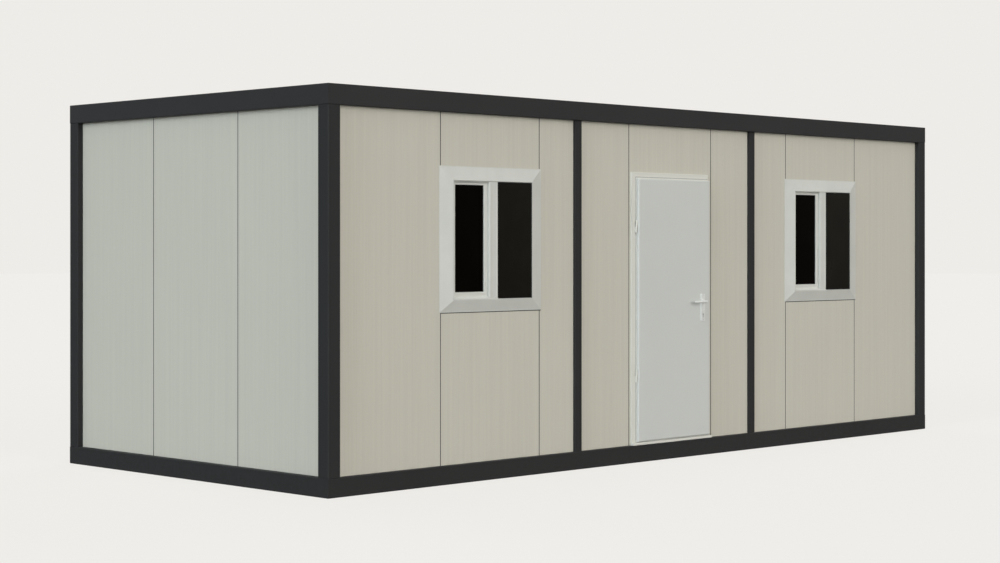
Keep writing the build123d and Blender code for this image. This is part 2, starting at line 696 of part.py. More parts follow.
def lever_side(start, way):
    """Hub and arm on one side of the door; way is 1 outwards and -1 inwards."""
    reach = LEVER_REACH * way
    with BuildPart() as side:
        with BuildSketch(LEAF_FACE.offset(start)):
            with Locations(SPINDLE_SPOT):
                Circle(LEVER_HUB_R)
        extrude(amount=reach)
        with BuildSketch(LEAF_FACE.offset(start + reach)):
            with Locations((LEAF_HIGH - PLATE_IN + LEVER_HUB_R, LEVER_AT_Z)):
                RectangleRounded(
                    LEVER_LENGTH + LEVER_HUB_R,
                    LEVER_H,
                    LEVER_ROUND,
                    align=(Align.MAX, Align.CENTER),
                )
        extrude(amount=-LEVER_T * way)
    return side


outer_lever = lever_side(HUB_START, 1)
inner_lever = lever_side(INNER_HUB_START, -1)

with BuildPart() as door_lever:
    add(outer_lever.part)
    add(inner_lever.part)
    with BuildSketch(LEAF_FACE.offset(HUB_START)):
        with Locations(SPINDLE_SPOT):
            Circle(SPINDLE_R)
    extrude(amount=INNER_HUB_START - HUB_START)

# ---------------------------------------------------------------- floor

FLOOR_L = LENGTH - 2 * BASE_TOP_FLANGE
FLOOR_W = WIDTH - 2 * BASE_TOP_FLANGE
JOIST_H = BASE_HEIGHT - SHEET - BOARD - COVERING
JOIST_COUNT = int(FLOOR_L // JOIST_PITCH)

with BuildPart() as floor_joists:
    for number in range(JOIST_COUNT):
        start = (number - (JOIST_COUNT - 1) / 2) * JOIST_PITCH
        with BuildSketch(Plane(origin=(start, 0, SHEET), x_dir=(1, 0, 0), z_dir=(0, -1, 0))):
            with BuildLine():
                FilletPolyline(
                    (JOIST_W, 0),
                    (0, 0),
                    (0, JOIST_H),
                    (JOIST_W, JOIST_H),
                    radius=JOIST_SHEET * 2,
                )
                offset(amount=JOIST_SHEET, side=Side.RIGHT)
            make_face()
        extrude(amount=HALF_W - BEND, both=True)

with BuildPart() as floor_board:
    with BuildSketch(Plane.XY.offset(SHEET + JOIST_H)):
        Rectangle(FLOOR_L, FLOOR_W)
    extrude(amount=BOARD)

with BuildPart() as floor_covering:
    with BuildSketch(Plane.XY.offset(SHEET + JOIST_H + BOARD)):
        Rectangle(FLOOR_L, FLOOR_W)
    extrude(amount=COVERING)

# ---------------------------------------------------------------- roof

ROOF_FOOT = EAVES + SHEET
ROOF_HALF_W = HALF_W - POST

with BuildPart() as roof_panels:
    for number in range(LONG_PANELS):
        low = LONG_SEAMS[number] + (0 if number == 0 else JOINT_GAP / 2)
        high = LONG_SEAMS[number + 1] - (0 if number == LONG_PANELS - 1 else JOINT_GAP / 2)
        step = (high - low) / ROOF_RIBS
        with BuildSketch(Plane(origin=(0, 0, ROOF_FOOT), x_dir=(1, 0, 0), z_dir=(0, -1, 0))):
            with Locations(((low + high) / 2, 0)):
                Rectangle(high - low, ROOF_PANEL, align=(Align.CENTER, Align.MIN))
            for rib in range(ROOF_RIBS):
                middle = low + step * (rib + 0.5)
                with BuildLine():
                    Polyline(
                        (middle - ROOF_RIB_FOOT / 2, ROOF_PANEL),
                        (middle - ROOF_RIB_TOP / 2, ROOF_PANEL + ROOF_RIB),
                        (middle + ROOF_RIB_TOP / 2, ROOF_PANEL + ROOF_RIB),
                        (middle + ROOF_RIB_FOOT / 2, ROOF_PANEL),
                        close=True,
                    )
                make_face()
        extrude(amount=ROOF_HALF_W, both=True)

# ---------------------------------------------------------------- labels and files

PIECES = {
    "base_rail_front": base_rail_front,
    "base_rail_back": base_rail_back,
    "base_rail_left": base_rail_left,
    "base_rail_right": base_rail_right,
    "roof_rail_front": roof_rail_front,
    "roof_rail_back": roof_rail_back,
    "roof_rail_left": roof_rail_left,
    "roof_rail_right": roof_rail_right,
    "corner_post_front_left": corner_post_front_left,
    "corner_post_front_right": corner_post_front_right,
    "corner_post_back_left": corner_post_back_left,
    "corner_post_back_right": corner_post_back_right,
    "mid_post_front_left": mid_post_front_left,
    "mid_post_front_right": mid_post_front_right,
    "mid_posts_back": mid_posts_back,
    "front_panel_1": front_panel_1,
    "front_panel_2": front_panel_2,
    "front_panel_3": front_panel_3,
    "front_door_header": front_door_header,
    "front_door_side_strips": front_door_side_strips,
    "front_panel_5": front_panel_5,
    "front_panel_6": front_panel_6,
    "front_panel_7": front_panel_7,
    "left_panel_front": left_panel_front,
    "left_panel_middle": left_panel_middle,
    "left_panel_back": left_panel_back,
    "right_panels": right_panels,
    "back_panels": back_panels,
    "window_left_surround": window_left_surround,
    "window_left_casing": window_left_casing,
    "window_left_sash": window_left_sash,
    "window_left_sash_pane": window_left_sash_pane,
    "window_left_fixed_pane": window_left_fixed_pane,
    "window_right_surround": window_right_surround,
    "window_right_casing": window_right_casing,
    "window_right_sash": window_right_sash,
    "window_right_sash_pane": window_right_sash_pane,
    "window_right_fixed_pane": window_right_fixed_pane,
    "door_frame": door_frame,
    "door_threshold": door_threshold,
    "door_leaf": door_leaf,
    "door_frame_hinges": door_frame_hinges,
    "door_leaf_hinges": door_leaf_hinges,
    "door_lock_plates": door_lock_plates,
    "door_lock_cylinder": door_lock_cylinder,
    "door_lever": door_lever,
    "floor_joists": floor_joists,
    "floor_board": floor_board,
    "floor_covering": floor_covering,
    "roof_panels": roof_panels,
}

for name, piece in PIECES.items():
    piece.part.label = name
    export_step(piece.part, f"parts/{name}.step")
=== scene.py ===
import math

import bmesh
import bpy
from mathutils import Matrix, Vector
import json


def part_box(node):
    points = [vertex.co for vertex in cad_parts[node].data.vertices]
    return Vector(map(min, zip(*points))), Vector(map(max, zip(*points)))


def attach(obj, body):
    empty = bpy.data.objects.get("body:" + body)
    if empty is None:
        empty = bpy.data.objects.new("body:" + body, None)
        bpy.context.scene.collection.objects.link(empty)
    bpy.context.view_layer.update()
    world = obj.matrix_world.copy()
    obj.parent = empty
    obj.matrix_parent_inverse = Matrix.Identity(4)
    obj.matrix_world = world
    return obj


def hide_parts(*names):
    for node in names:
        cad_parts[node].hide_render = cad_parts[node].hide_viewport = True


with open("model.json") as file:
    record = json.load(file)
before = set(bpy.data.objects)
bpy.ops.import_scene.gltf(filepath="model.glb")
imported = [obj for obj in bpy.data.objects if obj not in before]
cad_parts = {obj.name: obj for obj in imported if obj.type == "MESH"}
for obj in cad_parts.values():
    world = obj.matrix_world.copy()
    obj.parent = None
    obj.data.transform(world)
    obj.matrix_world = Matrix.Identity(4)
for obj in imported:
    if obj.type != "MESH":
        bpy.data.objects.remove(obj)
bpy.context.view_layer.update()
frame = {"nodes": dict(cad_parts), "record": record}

MM = 0.001


# ---------------------------------------------------------------- camera

SENSOR = 36.0                       # the sensor's width and the lens, in millimetres
LENS = 71.847
LENS_SHIFT = (0.00994, -0.03615)    # across and up, in sensor widths
STANDPOINT = (-11.9081, -11.3924, 1.6446)
SIGHT = (math.radians(90.0), 0.0, math.radians(-45.0))      # level, half way from +X to +Y
FARTHEST = 200.0                    # what the camera sees, in metres


def place_camera():
    """The standpoint: off the corner of the left end and the door wall, at eye height."""
    lens = bpy.data.cameras.new("camera")
    lens.sensor_width = SENSOR
    lens.lens = LENS
    lens.shift_x, lens.shift_y = LENS_SHIFT
    lens.clip_end = FARTHEST
    camera = bpy.data.objects.new("camera", lens)
    camera.location = STANDPOINT
    camera.rotation_euler = SIGHT
    bpy.context.scene.collection.objects.link(camera)
    bpy.context.scene.camera = camera


# ---------------------------------------------------------------- shader building

class Level:
    """A value at one socket; arithmetic on it adds the nodes that work it out."""

    def __init__(self, wiring, socket):
        self.wiring = wiring
        self.socket = socket

    def sum_up(self, operation, *numbers):
        """Run one Math node on these numbers or levels."""
        made = self.wiring.node("ShaderNodeMath", {"operation": operation})
        for place, number in enumerate(numbers):
            self.wiring.feed(made.inputs[place], number)
        return Level(self.wiring, made.outputs[0])

    def __add__(self, other):
        return self.sum_up("ADD", self, other)

    def __radd__(self, other):
        return self.sum_up("ADD", other, self)

    def __sub__(self, other):
        return self.sum_up("SUBTRACT", self, other)

    def __rsub__(self, other):
        return self.sum_up("SUBTRACT", other, self)

    def __mul__(self, other):
        return self.sum_up("MULTIPLY", self, other)

    def __rmul__(self, other):
        return self.sum_up("MULTIPLY", other, self)

    def __pow__(self, other):
        return self.sum_up("POWER", self, other)

    def span(self, low, high, start=0.0, end=1.0):
        """Run smoothly from start to end while the level goes from low to high."""
        made = self.wiring.node(
            "ShaderNodeMapRange",
            {"interpolation_type": "SMOOTHSTEP"},
            {"Value": self, "From Min": low, "From Max": high, "To Min": start, "To Max": end},
        )
        return Level(self.wiring, made.outputs["Result"])


class Wiring:
    """A node tree, with one way to add nodes to it."""

    def __init__(self, tree):
        self.tree = tree

    def node(self, kind, settings=None, sockets=None):
        """Add one node; its settings go on first, then its sockets get values or links."""
        made = self.tree.nodes.new(kind)
        for name, value in (settings or {}).items():
            setattr(made, name, value)
        for name, value in (sockets or {}).items():
            self.feed(made.inputs[name], value)
        return made

    def feed(self, socket, value):
        """Link a socket, or set it if the value is a plain number or colour."""
        if isinstance(value, Level):
            value = value.socket
        if isinstance(value, bpy.types.NodeSocket):
            self.tree.links.new(value, socket)
        else:
            socket.default_value = value


class Finish(Wiring):
    """A material, built up from its nodes."""

    def __init__(self, name, **even):
        """Name the material and set the values that are the same all over it."""
        self.material = bpy.data.materials.new(name)
        self.material.use_nodes = True
        super().__init__(self.material.node_tree)
        self.shader = self.tree.nodes["Principled BSDF"]
        for socket, value in even.items():
            self.shader.inputs[socket.replace("_", " ")].default_value = value
        self.place = self.node("ShaderNodeTexCoord").outputs["Object"]
        self.slope = None

    def stretched(self, scale):
        """The place on the piece, in metres, scaled along each axis."""
        made = self.node(
            "ShaderNodeVectorMath",
            {"operation": "MULTIPLY"},
            {0: self.place, 1: scale},
        )
        return made.outputs[0]

    def noise(self, scale, detail=3.0, roughness=0.55, stretch=(1.0, 1.0, 1.0)):
        """Soft random variation from 0 to 1, so many waves to the metre."""
        made = self.node(
            "ShaderNodeTexNoise",
            {"noise_dimensions": "3D"},
            {
                "Vector": self.stretched(stretch),
                "Scale": scale,
                "Detail": detail,
                "Roughness": roughness,
            },
        )
        return Level(self, made.outputs["Fac"])

    def chips(self, scale):
        """Cells of even tone from 0 to 1, so many to the metre."""
        cells = self.node(
            "ShaderNodeTexVoronoi", {"feature": "F1"}, {"Vector": self.place, "Scale": scale}
        )
        made = self.node("ShaderNodeSeparateColor", None, {0: cells.outputs["Color"]})
        return Level(self, made.outputs[0])

    def axis(self, name):
        """One coordinate of the place on the piece, in metres."""
        made = self.node("ShaderNodeSeparateXYZ", None, {0: self.place})
        return Level(self, made.outputs[name])

    def blend(self, amount, one, other):
        """Mix two colours by an amount from 0 to 1."""
        made = self.node("ShaderNodeMix", {"data_type": "RGBA"})
        self.feed(made.inputs["Factor"], amount)
        colours = [socket for socket in made.inputs if socket.type == "RGBA"]
        self.feed(colours[0], one)
        self.feed(colours[1], other)
        return [socket for socket in made.outputs if socket.type == "RGBA"][0]

    def emboss(self, height, depth):
        """Raise the surface by a height from 0 to 1, over a depth in metres."""
        sockets = {"Height": height, "Distance": depth, "Strength": 1.0}
        if self.slope is not None:
            sockets["Normal"] = self.slope
        self.slope = self.node("ShaderNodeBump", None, sockets).outputs["Normal"]
        self.feed(self.shader.inputs["Normal"], self.slope)

    def paint(self, colour, roughness):
        """Set what varies over the surface: its colour and how rough it is."""
        self.feed(self.shader.inputs["Base Color"], colour)
        self.feed(self.shader.inputs["Roughness"], roughness)
        return self.material


def shade(red, green, blue, share=1.0):
    """A colour with its alpha, made lighter or darker by a share."""
    return (red * share, green * share, blue * share, 1.0)


DUST = (0.16, 0.145, 0.12)
DUST_REACH = 0.22               # how high road dust settles, in metres
COARSE_PEEL = 0.05 * MM
FINE_PEEL = 0.02 * MM


def powder_coat(name, tint, roughness, peel, shine=0.4, patch=0.01):
    """Baked powder paint on folded steel, with fine orange peel and a little road dust low down."""
    finish = Finish(name, Metallic=0.0, Specular_IOR_Level=shine)
    cloud = finish.noise(1.7, detail=4.0)
    grain = finish.noise(420.0, detail=2.0)
    speckle = finish.noise(14.0, detail=5.0, roughness=0.62)
    dust = finish.axis("Z").span(DUST_REACH, 0.0) * speckle.span(0.42, 0.72)
    base = finish.blend(cloud.span(0.3, 0.7), shade(*tint, 1.0 - patch), shade(*tint, 1.0 + patch))
    colour = finish.blend(dust * 0.06, base, shade(*DUST))
    finish.emboss(grain, peel)
    return finish.paint(colour, cloud * 0.10 + grain * 0.06 + dust * 0.25 + roughness)


STREAK_DEPTH = 0.04 * MM


def wall_skin_paint(name, tint, roughness=0.42):
    """Coil-coated sheet: even colour with faint upright rolling streaks."""
    finish = Finish(name, Metallic=0.0, Specular_IOR_Level=0.35)
    streaks = finish.noise(60.0, roughness=0.6, stretch=(1.0, 1.0, 0.012))
    fine = finish.noise(260.0, detail=2.0, roughness=0.5, stretch=(1.0, 1.0, 0.02))
    cloud = finish.noise(0.9)
    tone = streaks * 0.55 + fine * 0.25 + cloud * 0.20
    colour = finish.blend(tone.span(0.30, 0.70), shade(*tint, 0.965), shade(*tint, 1.03))
    finish.emboss(fine, STREAK_DEPTH)
    return finish.paint(colour, cloud * 0.08 + fine * 0.08 + roughness)


FINE_GRAIN = 0.01 * MM          # how deep the finest grain is


def moulded_plastic(name, tint, roughness=0.34):
    """Extruded white window plastic, slightly uneven in gloss."""
    finish = Finish(name, Metallic=0.0, Specular_IOR_Level=0.45)
    cloud = finish.noise(6.0)
    grain = finish.noise(700.0, detail=2.0)
    colour = finish.blend(cloud.span(0.3, 0.7), shade(*tint, 0.975), shade(*tint, 1.02))
    finish.emboss(grain, FINE_GRAIN)
    return finish.paint(colour, cloud * 0.08 + grain * 0.05 + roughness)


def dark_glass(name, tint, shine, roughness=0.04):
    """Tinted double glazing with a thin film of dust."""
    finish = Finish(name, Metallic=0.0, Specular_IOR_Level=shine)
    film = finish.noise(5.0, detail=5.0, roughness=0.6)
    colour = finish.blend(film.span(0.35, 0.75), shade(*tint, 0.85), shade(*tint, 1.2))
    return finish.paint(colour, film * 0.05 + roughness)


def satin_metal(name, tint, roughness, metallic=1.0):
    """Plated or brushed metal, with faint level scratches."""
    finish = Finish(name, Metallic=metallic, Specular_IOR_Level=0.5)
    lines = finish.noise(320.0, roughness=0.6, stretch=(1.0, 1.0, 6.0))
    cloud = finish.noise(30.0)
    colour = finish.blend(cloud.span(0.3, 0.7), shade(*tint, 0.93), shade(*tint, 1.04))
    finish.emboss(lines, FINE_GRAIN)
    return finish.paint(colour, cloud * 0.10 + lines * 0.10 + roughness)


def zinc_coat(name, roughness=0.32):
    """Hot-dip galvanised steel with its spangle."""
    finish = Finish(name, Metallic=1.0, Specular_IOR_Level=0.5)
    flake = finish.chips(70.0)
    cloud = finish.noise(2.5, detail=4.0)
    tone = flake * 0.6 + cloud * 0.4
    colour = finish.blend(tone, shade(0.42, 0.43, 0.44), shade(0.60, 0.61, 0.62))
    return finish.paint(colour, flake * 0.14 + cloud * 0.14 + roughness)


FLECK_DEPTH = 0.3 * MM


def cement_bonded_board(name, roughness=0.75):
    """Cement-bonded floor board, grey with flecks."""
    finish = Finish(name, Metallic=0.0, Specular_IOR_Level=0.3)
    fleck = finish.noise(150.0, detail=4.0, roughness=0.7)
    cloud = finish.noise(3.0, detail=4.0)
    tone = fleck.span(0.35, 0.68) * 0.7 + cloud * 0.3
    colour = finish.blend(tone, shade(0.23, 0.21, 0.18), shade(0.42, 0.40, 0.36))
    finish.emboss(fleck, FLECK_DEPTH)
    return finish.paint(colour, fleck * 0.15 + roughness)


def sheet_vinyl(name, roughness=0.36):
    """Grey vinyl floor covering with fine chips in it."""
    finish = Finish(name, Metallic=0.0, Specular_IOR_Level=0.5)
    chip = finish.chips(260.0)
    cloud = finish.noise(2.0, detail=4.0)
    tone = chip.span(0.1, 0.95) * 0.8 + cloud * 0.2
    colour = finish.blend(tone, shade(0.17, 0.18, 0.19), shade(0.36, 0.36, 0.35))
    return finish.paint(colour, cloud * 0.14 + roughness)


RUBBER_GRAIN = 0.05 * MM


def soft_rubber(name, deep, bloomed, roughness=0.6):
    """Sealing rubber, a little bloomed in places."""
    finish = Finish(name, Metallic=0.0, Specular_IOR_Level=0.3)
    grain = finish.noise(500.0)
    bloom = finish.noise(20.0)
    colour = finish.blend(bloom.span(0.4, 0.8), shade(*deep), shade(*bloomed))
    finish.emboss(grain, RUBBER_GRAIN)
    return finish.paint(colour, grain * 0.1 + roughness)


FRAME_PAINT = powder_coat(
    "anthracite_powder_coat", (0.0175, 0.0172, 0.0172), 0.55, COARSE_PEEL, shine=0.3, patch=0.06
)
# a lighter copy of the frame paint: painted light on the roof rails
LIT_ROOF_RAIL_PAINT = powder_coat(
    "roof_rail_coat_painted_light", (0.0222, 0.0214, 0.0216), 0.55, COARSE_PEEL, shine=0.3, patch=0.06
)
PANEL_SKIN = wall_skin_paint("cream_wall_skin", (0.57, 0.545, 0.465))
ROOF_SKIN = wall_skin_paint("pale_roof_skin", (0.57, 0.56, 0.52))
WINDOW_PLASTIC = moulded_plastic("white_window_plastic", (0.606, 0.606, 0.564))
# a lighter copy of the window plastic: painted light on the recessed sashes, their beads, cover strips
# and finger pulls
LIT_SASH_PLASTIC = moulded_plastic("sash_plastic_painted_light", (0.664, 0.664, 0.618))
FIXED_GLASS = dark_glass("tinted_glass", (0.0078, 0.0068, 0.0046), shine=0.10)
# a darker, duller copy of the tinted glass: painted shade on the panes set back in the sashes
SHADED_SASH_GLASS = dark_glass("sash_glass_painted_shade", (0.0020, 0.0014, 0.0008), shine=0.02)
DOOR_FRAME_PAINT = powder_coat("door_surround_paint", (0.69, 0.68, 0.62), 0.40, FINE_PEEL)
DOOR_PAINT = powder_coat("door_leaf_paint", (0.60, 0.605, 0.575), 0.42, FINE_PEEL)
HANDLE_METAL = satin_metal("satin_handle", (0.73, 0.73, 0.70), 0.36, metallic=0.06)
LOCK_METAL = satin_metal("nickel_lock", (0.62, 0.62, 0.60), 0.26)
JOIST_STEEL = zinc_coat("galvanised_steel")
FLOOR_BOARD = cement_bonded_board("cement_board")
FLOOR_COVERING = sheet_vinyl("flecked_vinyl")
RUBBER = soft_rubber("sealing_rubber", (0.012, 0.012, 0.012), (0.03, 0.03, 0.028))
# a dark brown strip under each window's surround: painted shadow below the surround
PAINTED_SHADOW_BROWN = soft_rubber("brown_painted_shadow", (0.030, 0.027, 0.020), (0.050, 0.045, 0.034))
PALE_RUBBER = soft_rubber("pale_door_seal", (0.60, 0.60, 0.56), (0.66, 0.66, 0.62))
# a grey strip on the door frame beside the leaf: painted shadow for the gap between frame and leaf
GREY_PAINTED_SHADOW = soft_rubber("grey_painted_shadow_line", (0.36, 0.36, 0.34), (0.42, 0.42, 0.40))

FINISH_OF = {
    "frame_paint": FRAME_PAINT,
    "panel_skin": PANEL_SKIN,
    "roof_skin": ROOF_SKIN,
    "window_plastic": WINDOW_PLASTIC,
    "window_glass": FIXED_GLASS,
    "door_frame_paint": DOOR_FRAME_PAINT,
    "door_paint": DOOR_PAINT,
    "handle_metal": HANDLE_METAL,
    "lock_metal": LOCK_METAL,
    "joist_steel": JOIST_STEEL,
    "floor_board": FLOOR_BOARD,
    "floor_covering": FLOOR_COVERING,
}

# the nodes whose finish differs a little from the others in their slot: the lighter copies on the roof
# rails and sashes are painted light, and the darker copy on the sash panes is painted shade
FINISH_OF_NODE = {
    "roof_rail_front": LIT_ROOF_RAIL_PAINT,
    "roof_rail_back": LIT_ROOF_RAIL_PAINT,
    "roof_rail_left": LIT_ROOF_RAIL_PAINT,
    "roof_rail_right": LIT_ROOF_RAIL_PAINT,
    "window_left_sash": LIT_SASH_PLASTIC,
    "window_right_sash": LIT_SASH_PLASTIC,
    "window_left_sash_pane": SHADED_SASH_GLASS,
    "window_right_sash_pane": SHADED_SASH_GLASS,
}


def finish_cad_pieces():
    """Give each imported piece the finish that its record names."""
    for part in frame["record"]["subparts"]:
        node = part["node"]
        mesh = frame["nodes"][node].data
        mesh.materials.clear()
        mesh.materials.append(FINISH_OF_NODE.get(node, FINISH_OF[part["material_slot"]]))


# ---------------------------------------------------------------- walls

PANEL_COVER = 983.0 * MM        # what one panel covers, from seam to seam
RIBS_A_PANEL = 18
RIB_PITCH = PANEL_COVER / RIBS_A_PANEL
SKIN_BACK = -0.2 * MM           # the skin's back, just inside the panel's face
LAND = 0.75 * MM                # the face between the grooves, proud of the panel
GROOVE = 10.0 * MM              # the broad groove's width, and that of each sloping side
GROOVE_SIDE = 2.5 * MM
GROOVE_FLOOR = 0.35 * MM
FINE_GROOVES = (20.5 * MM, 31.5 * MM, 42.5 * MM)
FINE_SIDE = 1.5 * MM
FINE_FLOOR = 0.60 * MM
SEAM_HALF = 3.9 * MM            # from a seam's middle to the skin's edge
JOINT_HALF = 0.2 * MM           # half the gap between two panels
EDGE_ROUND = 1.2 * MM
EDGE_MIDDLE = (0.3, 0.7)        # half way round an edge: shares of its width and of the land
CLEAR_OF_EDGE = 1.0 * MM        # how far a rib's points keep from an edge's rounding
OPENING_LAP = 6.0 * MM          # what a window or the door frame laps over the skin
SEAL_HALF = 3.7 * MM
SEAL_EDGE = 0.1 * MM
SEAL_CROWN = 0.25 * MM

# one rib's section, from its start: (distance, height)
RIB_POINTS = [
    (0.0, LAND), (GROOVE_SIDE, GROOVE_FLOOR), (GROOVE - GROOVE_SIDE, GROOVE_FLOOR), (GROOVE, LAND),
]
for fine_groove in FINE_GROOVES:
    RIB_POINTS += [
        (fine_groove - FINE_SIDE, LAND),
        (fine_groove, FINE_FLOOR),
        (fine_groove + FINE_SIDE, LAND),
    ]

# a joint's seal: (across, proud)
WALL_SEAL = [
    (-SEAL_HALF, SKIN_BACK), (-SEAL_HALF, SEAL_EDGE), (-SEAL_HALF / 2, SEAL_CROWN),
    (SEAL_HALF / 2, SEAL_CROWN), (SEAL_HALF, SEAL_EDGE), (SEAL_HALF, SKIN_BACK),
]


class Wall:
    """One face of a wall or room: distances run along it, up it and outwards from it."""

    def __init__(self, origin, along, outwards, up=(0, 0, 1)):
        self.origin = Vector(origin)
        self.along = Vector(along)
        self.outwards = Vector(outwards)
        self.up = Vector(up)

    def point(self, distance, height, proud):
        return self.origin + self.along * distance + self.up * height + self.outwards * proud


def rib_line(low, high, start, backwards, round_low, round_high):
    """The skin's section between two distances: ribs from the start, and edges that may turn in."""
    way = -1.0 if backwards else 1.0
    first, last = low + EDGE_ROUND, high - EDGE_ROUND
    points = []
    count = int((high - low) / RIB_PITCH) + 2
    for rib in range(-1, count):
        for offset, height in RIB_POINTS:
            distance = start + way * (rib * RIB_PITCH + offset)
            if first + CLEAR_OF_EDGE < distance < last - CLEAR_OF_EDGE:
                points.append((distance, height))
    points.sort()
    inwards, upwards = EDGE_ROUND * EDGE_MIDDLE[0], LAND * EDGE_MIDDLE[1]
    ends_low = [(low, 0.0), (low + inwards, upwards), (first, LAND)]
    ends_high = [(last, LAND), (high - inwards, upwards), (high, 0.0)]
    if not round_low:
        ends_low = [(low, LAND)]
    if not round_high:
        ends_high = [(high, LAND)]
    return ends_low + points + ends_high


def height_on(line, distance):
    """The height of the section at a distance."""
    for (low, foot), (high, head) in zip(line, line[1:]):
        if low <= distance <= high:
            return foot + (head - foot) * (distance - low) / (high - low)
    return LAND


def skin_sheet(name, wall, line, foot, head, opening=None):
    """A closed, thin sheet with that section, with a hole where the window or door is."""
    heights = [foot, head]
    if opening is not None:
        left, right, sill, lintel = opening
        for edge in (left, right):
            if line[0][0] < edge < line[-1][0]:
                line = sorted(line + [(edge, height_on(line, edge))])
        heights = sorted({foot, max(sill, foot), min(lintel, head), head})
    columns, rows = len(line) - 1, len(heights) - 1

    def solid(column, row):
        if not (0 <= column < columns and 0 <= row < rows):
            return False
        if opening is None:
            return True
        middle = (line[column][0] + line[column + 1][0]) / 2
        level = (heights[row] + heights[row + 1]) / 2
        return not (left < middle < right and sill < level < lintel)

    made = bmesh.new()
    corners = {}

    def corner(column, row, front):
        key = (column, row, front)
        if key not in corners:
            distance, proud = line[column]
            corners[key] = made.verts.new(
                wall.point(distance, heights[row], proud if front else SKIN_BACK)
            )
        return corners[key]

    def face(*places):
        made.faces.new([corner(*place) for place in places])

    for column in range(columns):
        for row in range(rows):
            if not solid(column, row):
                continue
            after, above = column + 1, row + 1
            face((column, row, 1), (after, row, 1), (after, above, 1), (column, above, 1))
            face((column, row, 0), (column, above, 0), (after, above, 0), (after, row, 0))
            if not solid(column - 1, row):
                face((column, row, 0), (column, row, 1), (column, above, 1), (column, above, 0))
            if not solid(after, row):
                face((after, row, 1), (after, row, 0), (after, above, 0), (after, above, 1))
            if not solid(column, row - 1):
                face((column, row, 0), (after, row, 0), (after, row, 1), (column, row, 1))
            if not solid(column, above):
                face((column, above, 1), (after, above, 1), (after, above, 0), (column, above, 0))
    return finish_piece(name, made, PANEL_SKIN, "cabin")


# edges that turn further than this many degrees stay sharp
FOLDED = 30.0
MOULDED = 40.0
ROUNDED = 50.0
SOFT = 60.0


def finish_piece(name, made, material, body, crease=None):
    """Turn a built mesh into a piece with its material and body, smooth up to a crease."""
    bmesh.ops.recalc_face_normals(made, faces=made.faces[:])
    mesh = bpy.data.meshes.new(name)
    made.to_mesh(mesh)
    made.free()
    mesh.materials.append(material)
    piece = bpy.data.objects.new(name, mesh)
    bpy.context.scene.collection.objects.link(piece)
    if crease is not None:
        for polygon in mesh.polygons:
            polygon.use_smooth = True
        mesh.set_sharp_from_angle(angle=math.radians(crease))
    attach(piece, body)
    return piece


FRONT_ROW = [
    "front_panel_1", "front_panel_2", "front_panel_3", "front_door_header",
    "front_panel_5", "front_panel_6", "front_panel_7",
]

# the panels that are cut, and what covers the edges of each cut
CASINGS = {
    "front_panel_2": "window_left_surround",
    "front_door_header": "door_frame",
    "front_panel_6": "window_right_surround",
}


def wall_rows():
    """Each wall with its name, its panels' seams from end to end, and its openings by panel."""
    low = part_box("front_panel_1")[0]
    front_seams = [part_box(name)[0].x - JOINT_HALF for name in FRONT_ROW]
    front_seams = [low.x] + front_seams[1:] + [-low.x]
    back_seams = [-seam for seam in reversed(front_seams)]
    end_low, end_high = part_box("left_panel_front")
    side_seams = [end_low.y, end_high.y + JOINT_HALF, -end_high.y - JOINT_HALF, -end_low.y]
    openings = {}
    for panel, casing in CASINGS.items():
        casing_low, casing_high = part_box(casing)
        sill = casing_low.z + OPENING_LAP
        if casing == "door_frame":
            sill = low.z - OPENING_LAP      # the doorway is cut right through the wall's foot
        openings[FRONT_ROW.index(panel)] = (
            casing_low.x + OPENING_LAP, casing_high.x - OPENING_LAP,
            sill, casing_high.z - OPENING_LAP,
        )
    return [
        ("front", Wall((0, low.y, 0), (1, 0, 0), (0, -1, 0)), front_seams, openings),
        ("back", Wall((0, -low.y, 0), (1, 0, 0), (0, 1, 0)), back_seams, {}),
        ("left", Wall((end_low.x, 0, 0), (0, 1, 0), (-1, 0, 0)), side_seams, {}),
        ("right", Wall((-end_low.x, 0, 0), (0, 1, 0), (1, 0, 0)), side_seams, {}),
    ]


def skin_walls():
    """Lay the ribbed skins on the outside of every wall, and the seals in the joints between them."""
    low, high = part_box("front_panel_1")
    foot, head = low.z, high.z
    for side, wall, seams, holes in wall_rows():
        last = len(seams) - 2
        for number in range(last + 1):
            begin, end = seams[number], seams[number + 1]
            low_edge = begin if number == 0 else begin + SEAM_HALF
            high_edge = end if number == last else end - SEAM_HALF
            start = end if number == 0 else begin
            line = rib_line(low_edge, high_edge, start, number == 0, number > 0, number < last)
            skin_sheet(f"{side}_skin_{number + 1}", wall, line, foot, head, holes.get(number))
        made = bmesh.new()
        for seam in seams[1:-1]:
            upright(made, wall, seam, foot, head, WALL_SEAL)
        finish_piece(f"{side}_wall_seals", made, RUBBER, "cabin", SOFT)


def join_rings(made, rings, closed=False):
    """Close a solid through rings of points, with a face at each end unless it runs round."""
    count = len(rings[0])
    following = rings[1:] + (rings[:1] if closed else [])
    for ring, other_ring in zip(rings, following):
        for index in range(count):
            other = (index + 1) % count
            made.faces.new([ring[index], ring[other], other_ring[other], other_ring[index]])
    if not closed:
        made.faces.new(rings[0])
        made.faces.new(rings[-1])


def upright(made, wall, middle, foot, head, section):
    """A bar that stands on the wall; its section runs (across, proud)."""
    join_rings(made, [
        [made.verts.new(wall.point(middle + across, height, proud)) for across, proud in section]
        for height in (foot, head)
    ])


def level_bar(made, wall, low, high, height, section):
    """A bar that lies along the wall; its section runs (upwards, proud)."""
    join_rings(made, [
        [made.verts.new(wall.point(distance, height + up, proud)) for up, proud in section]
        for distance in (low, high)
    ])


SIDES = ("foot", "right", "head", "left")


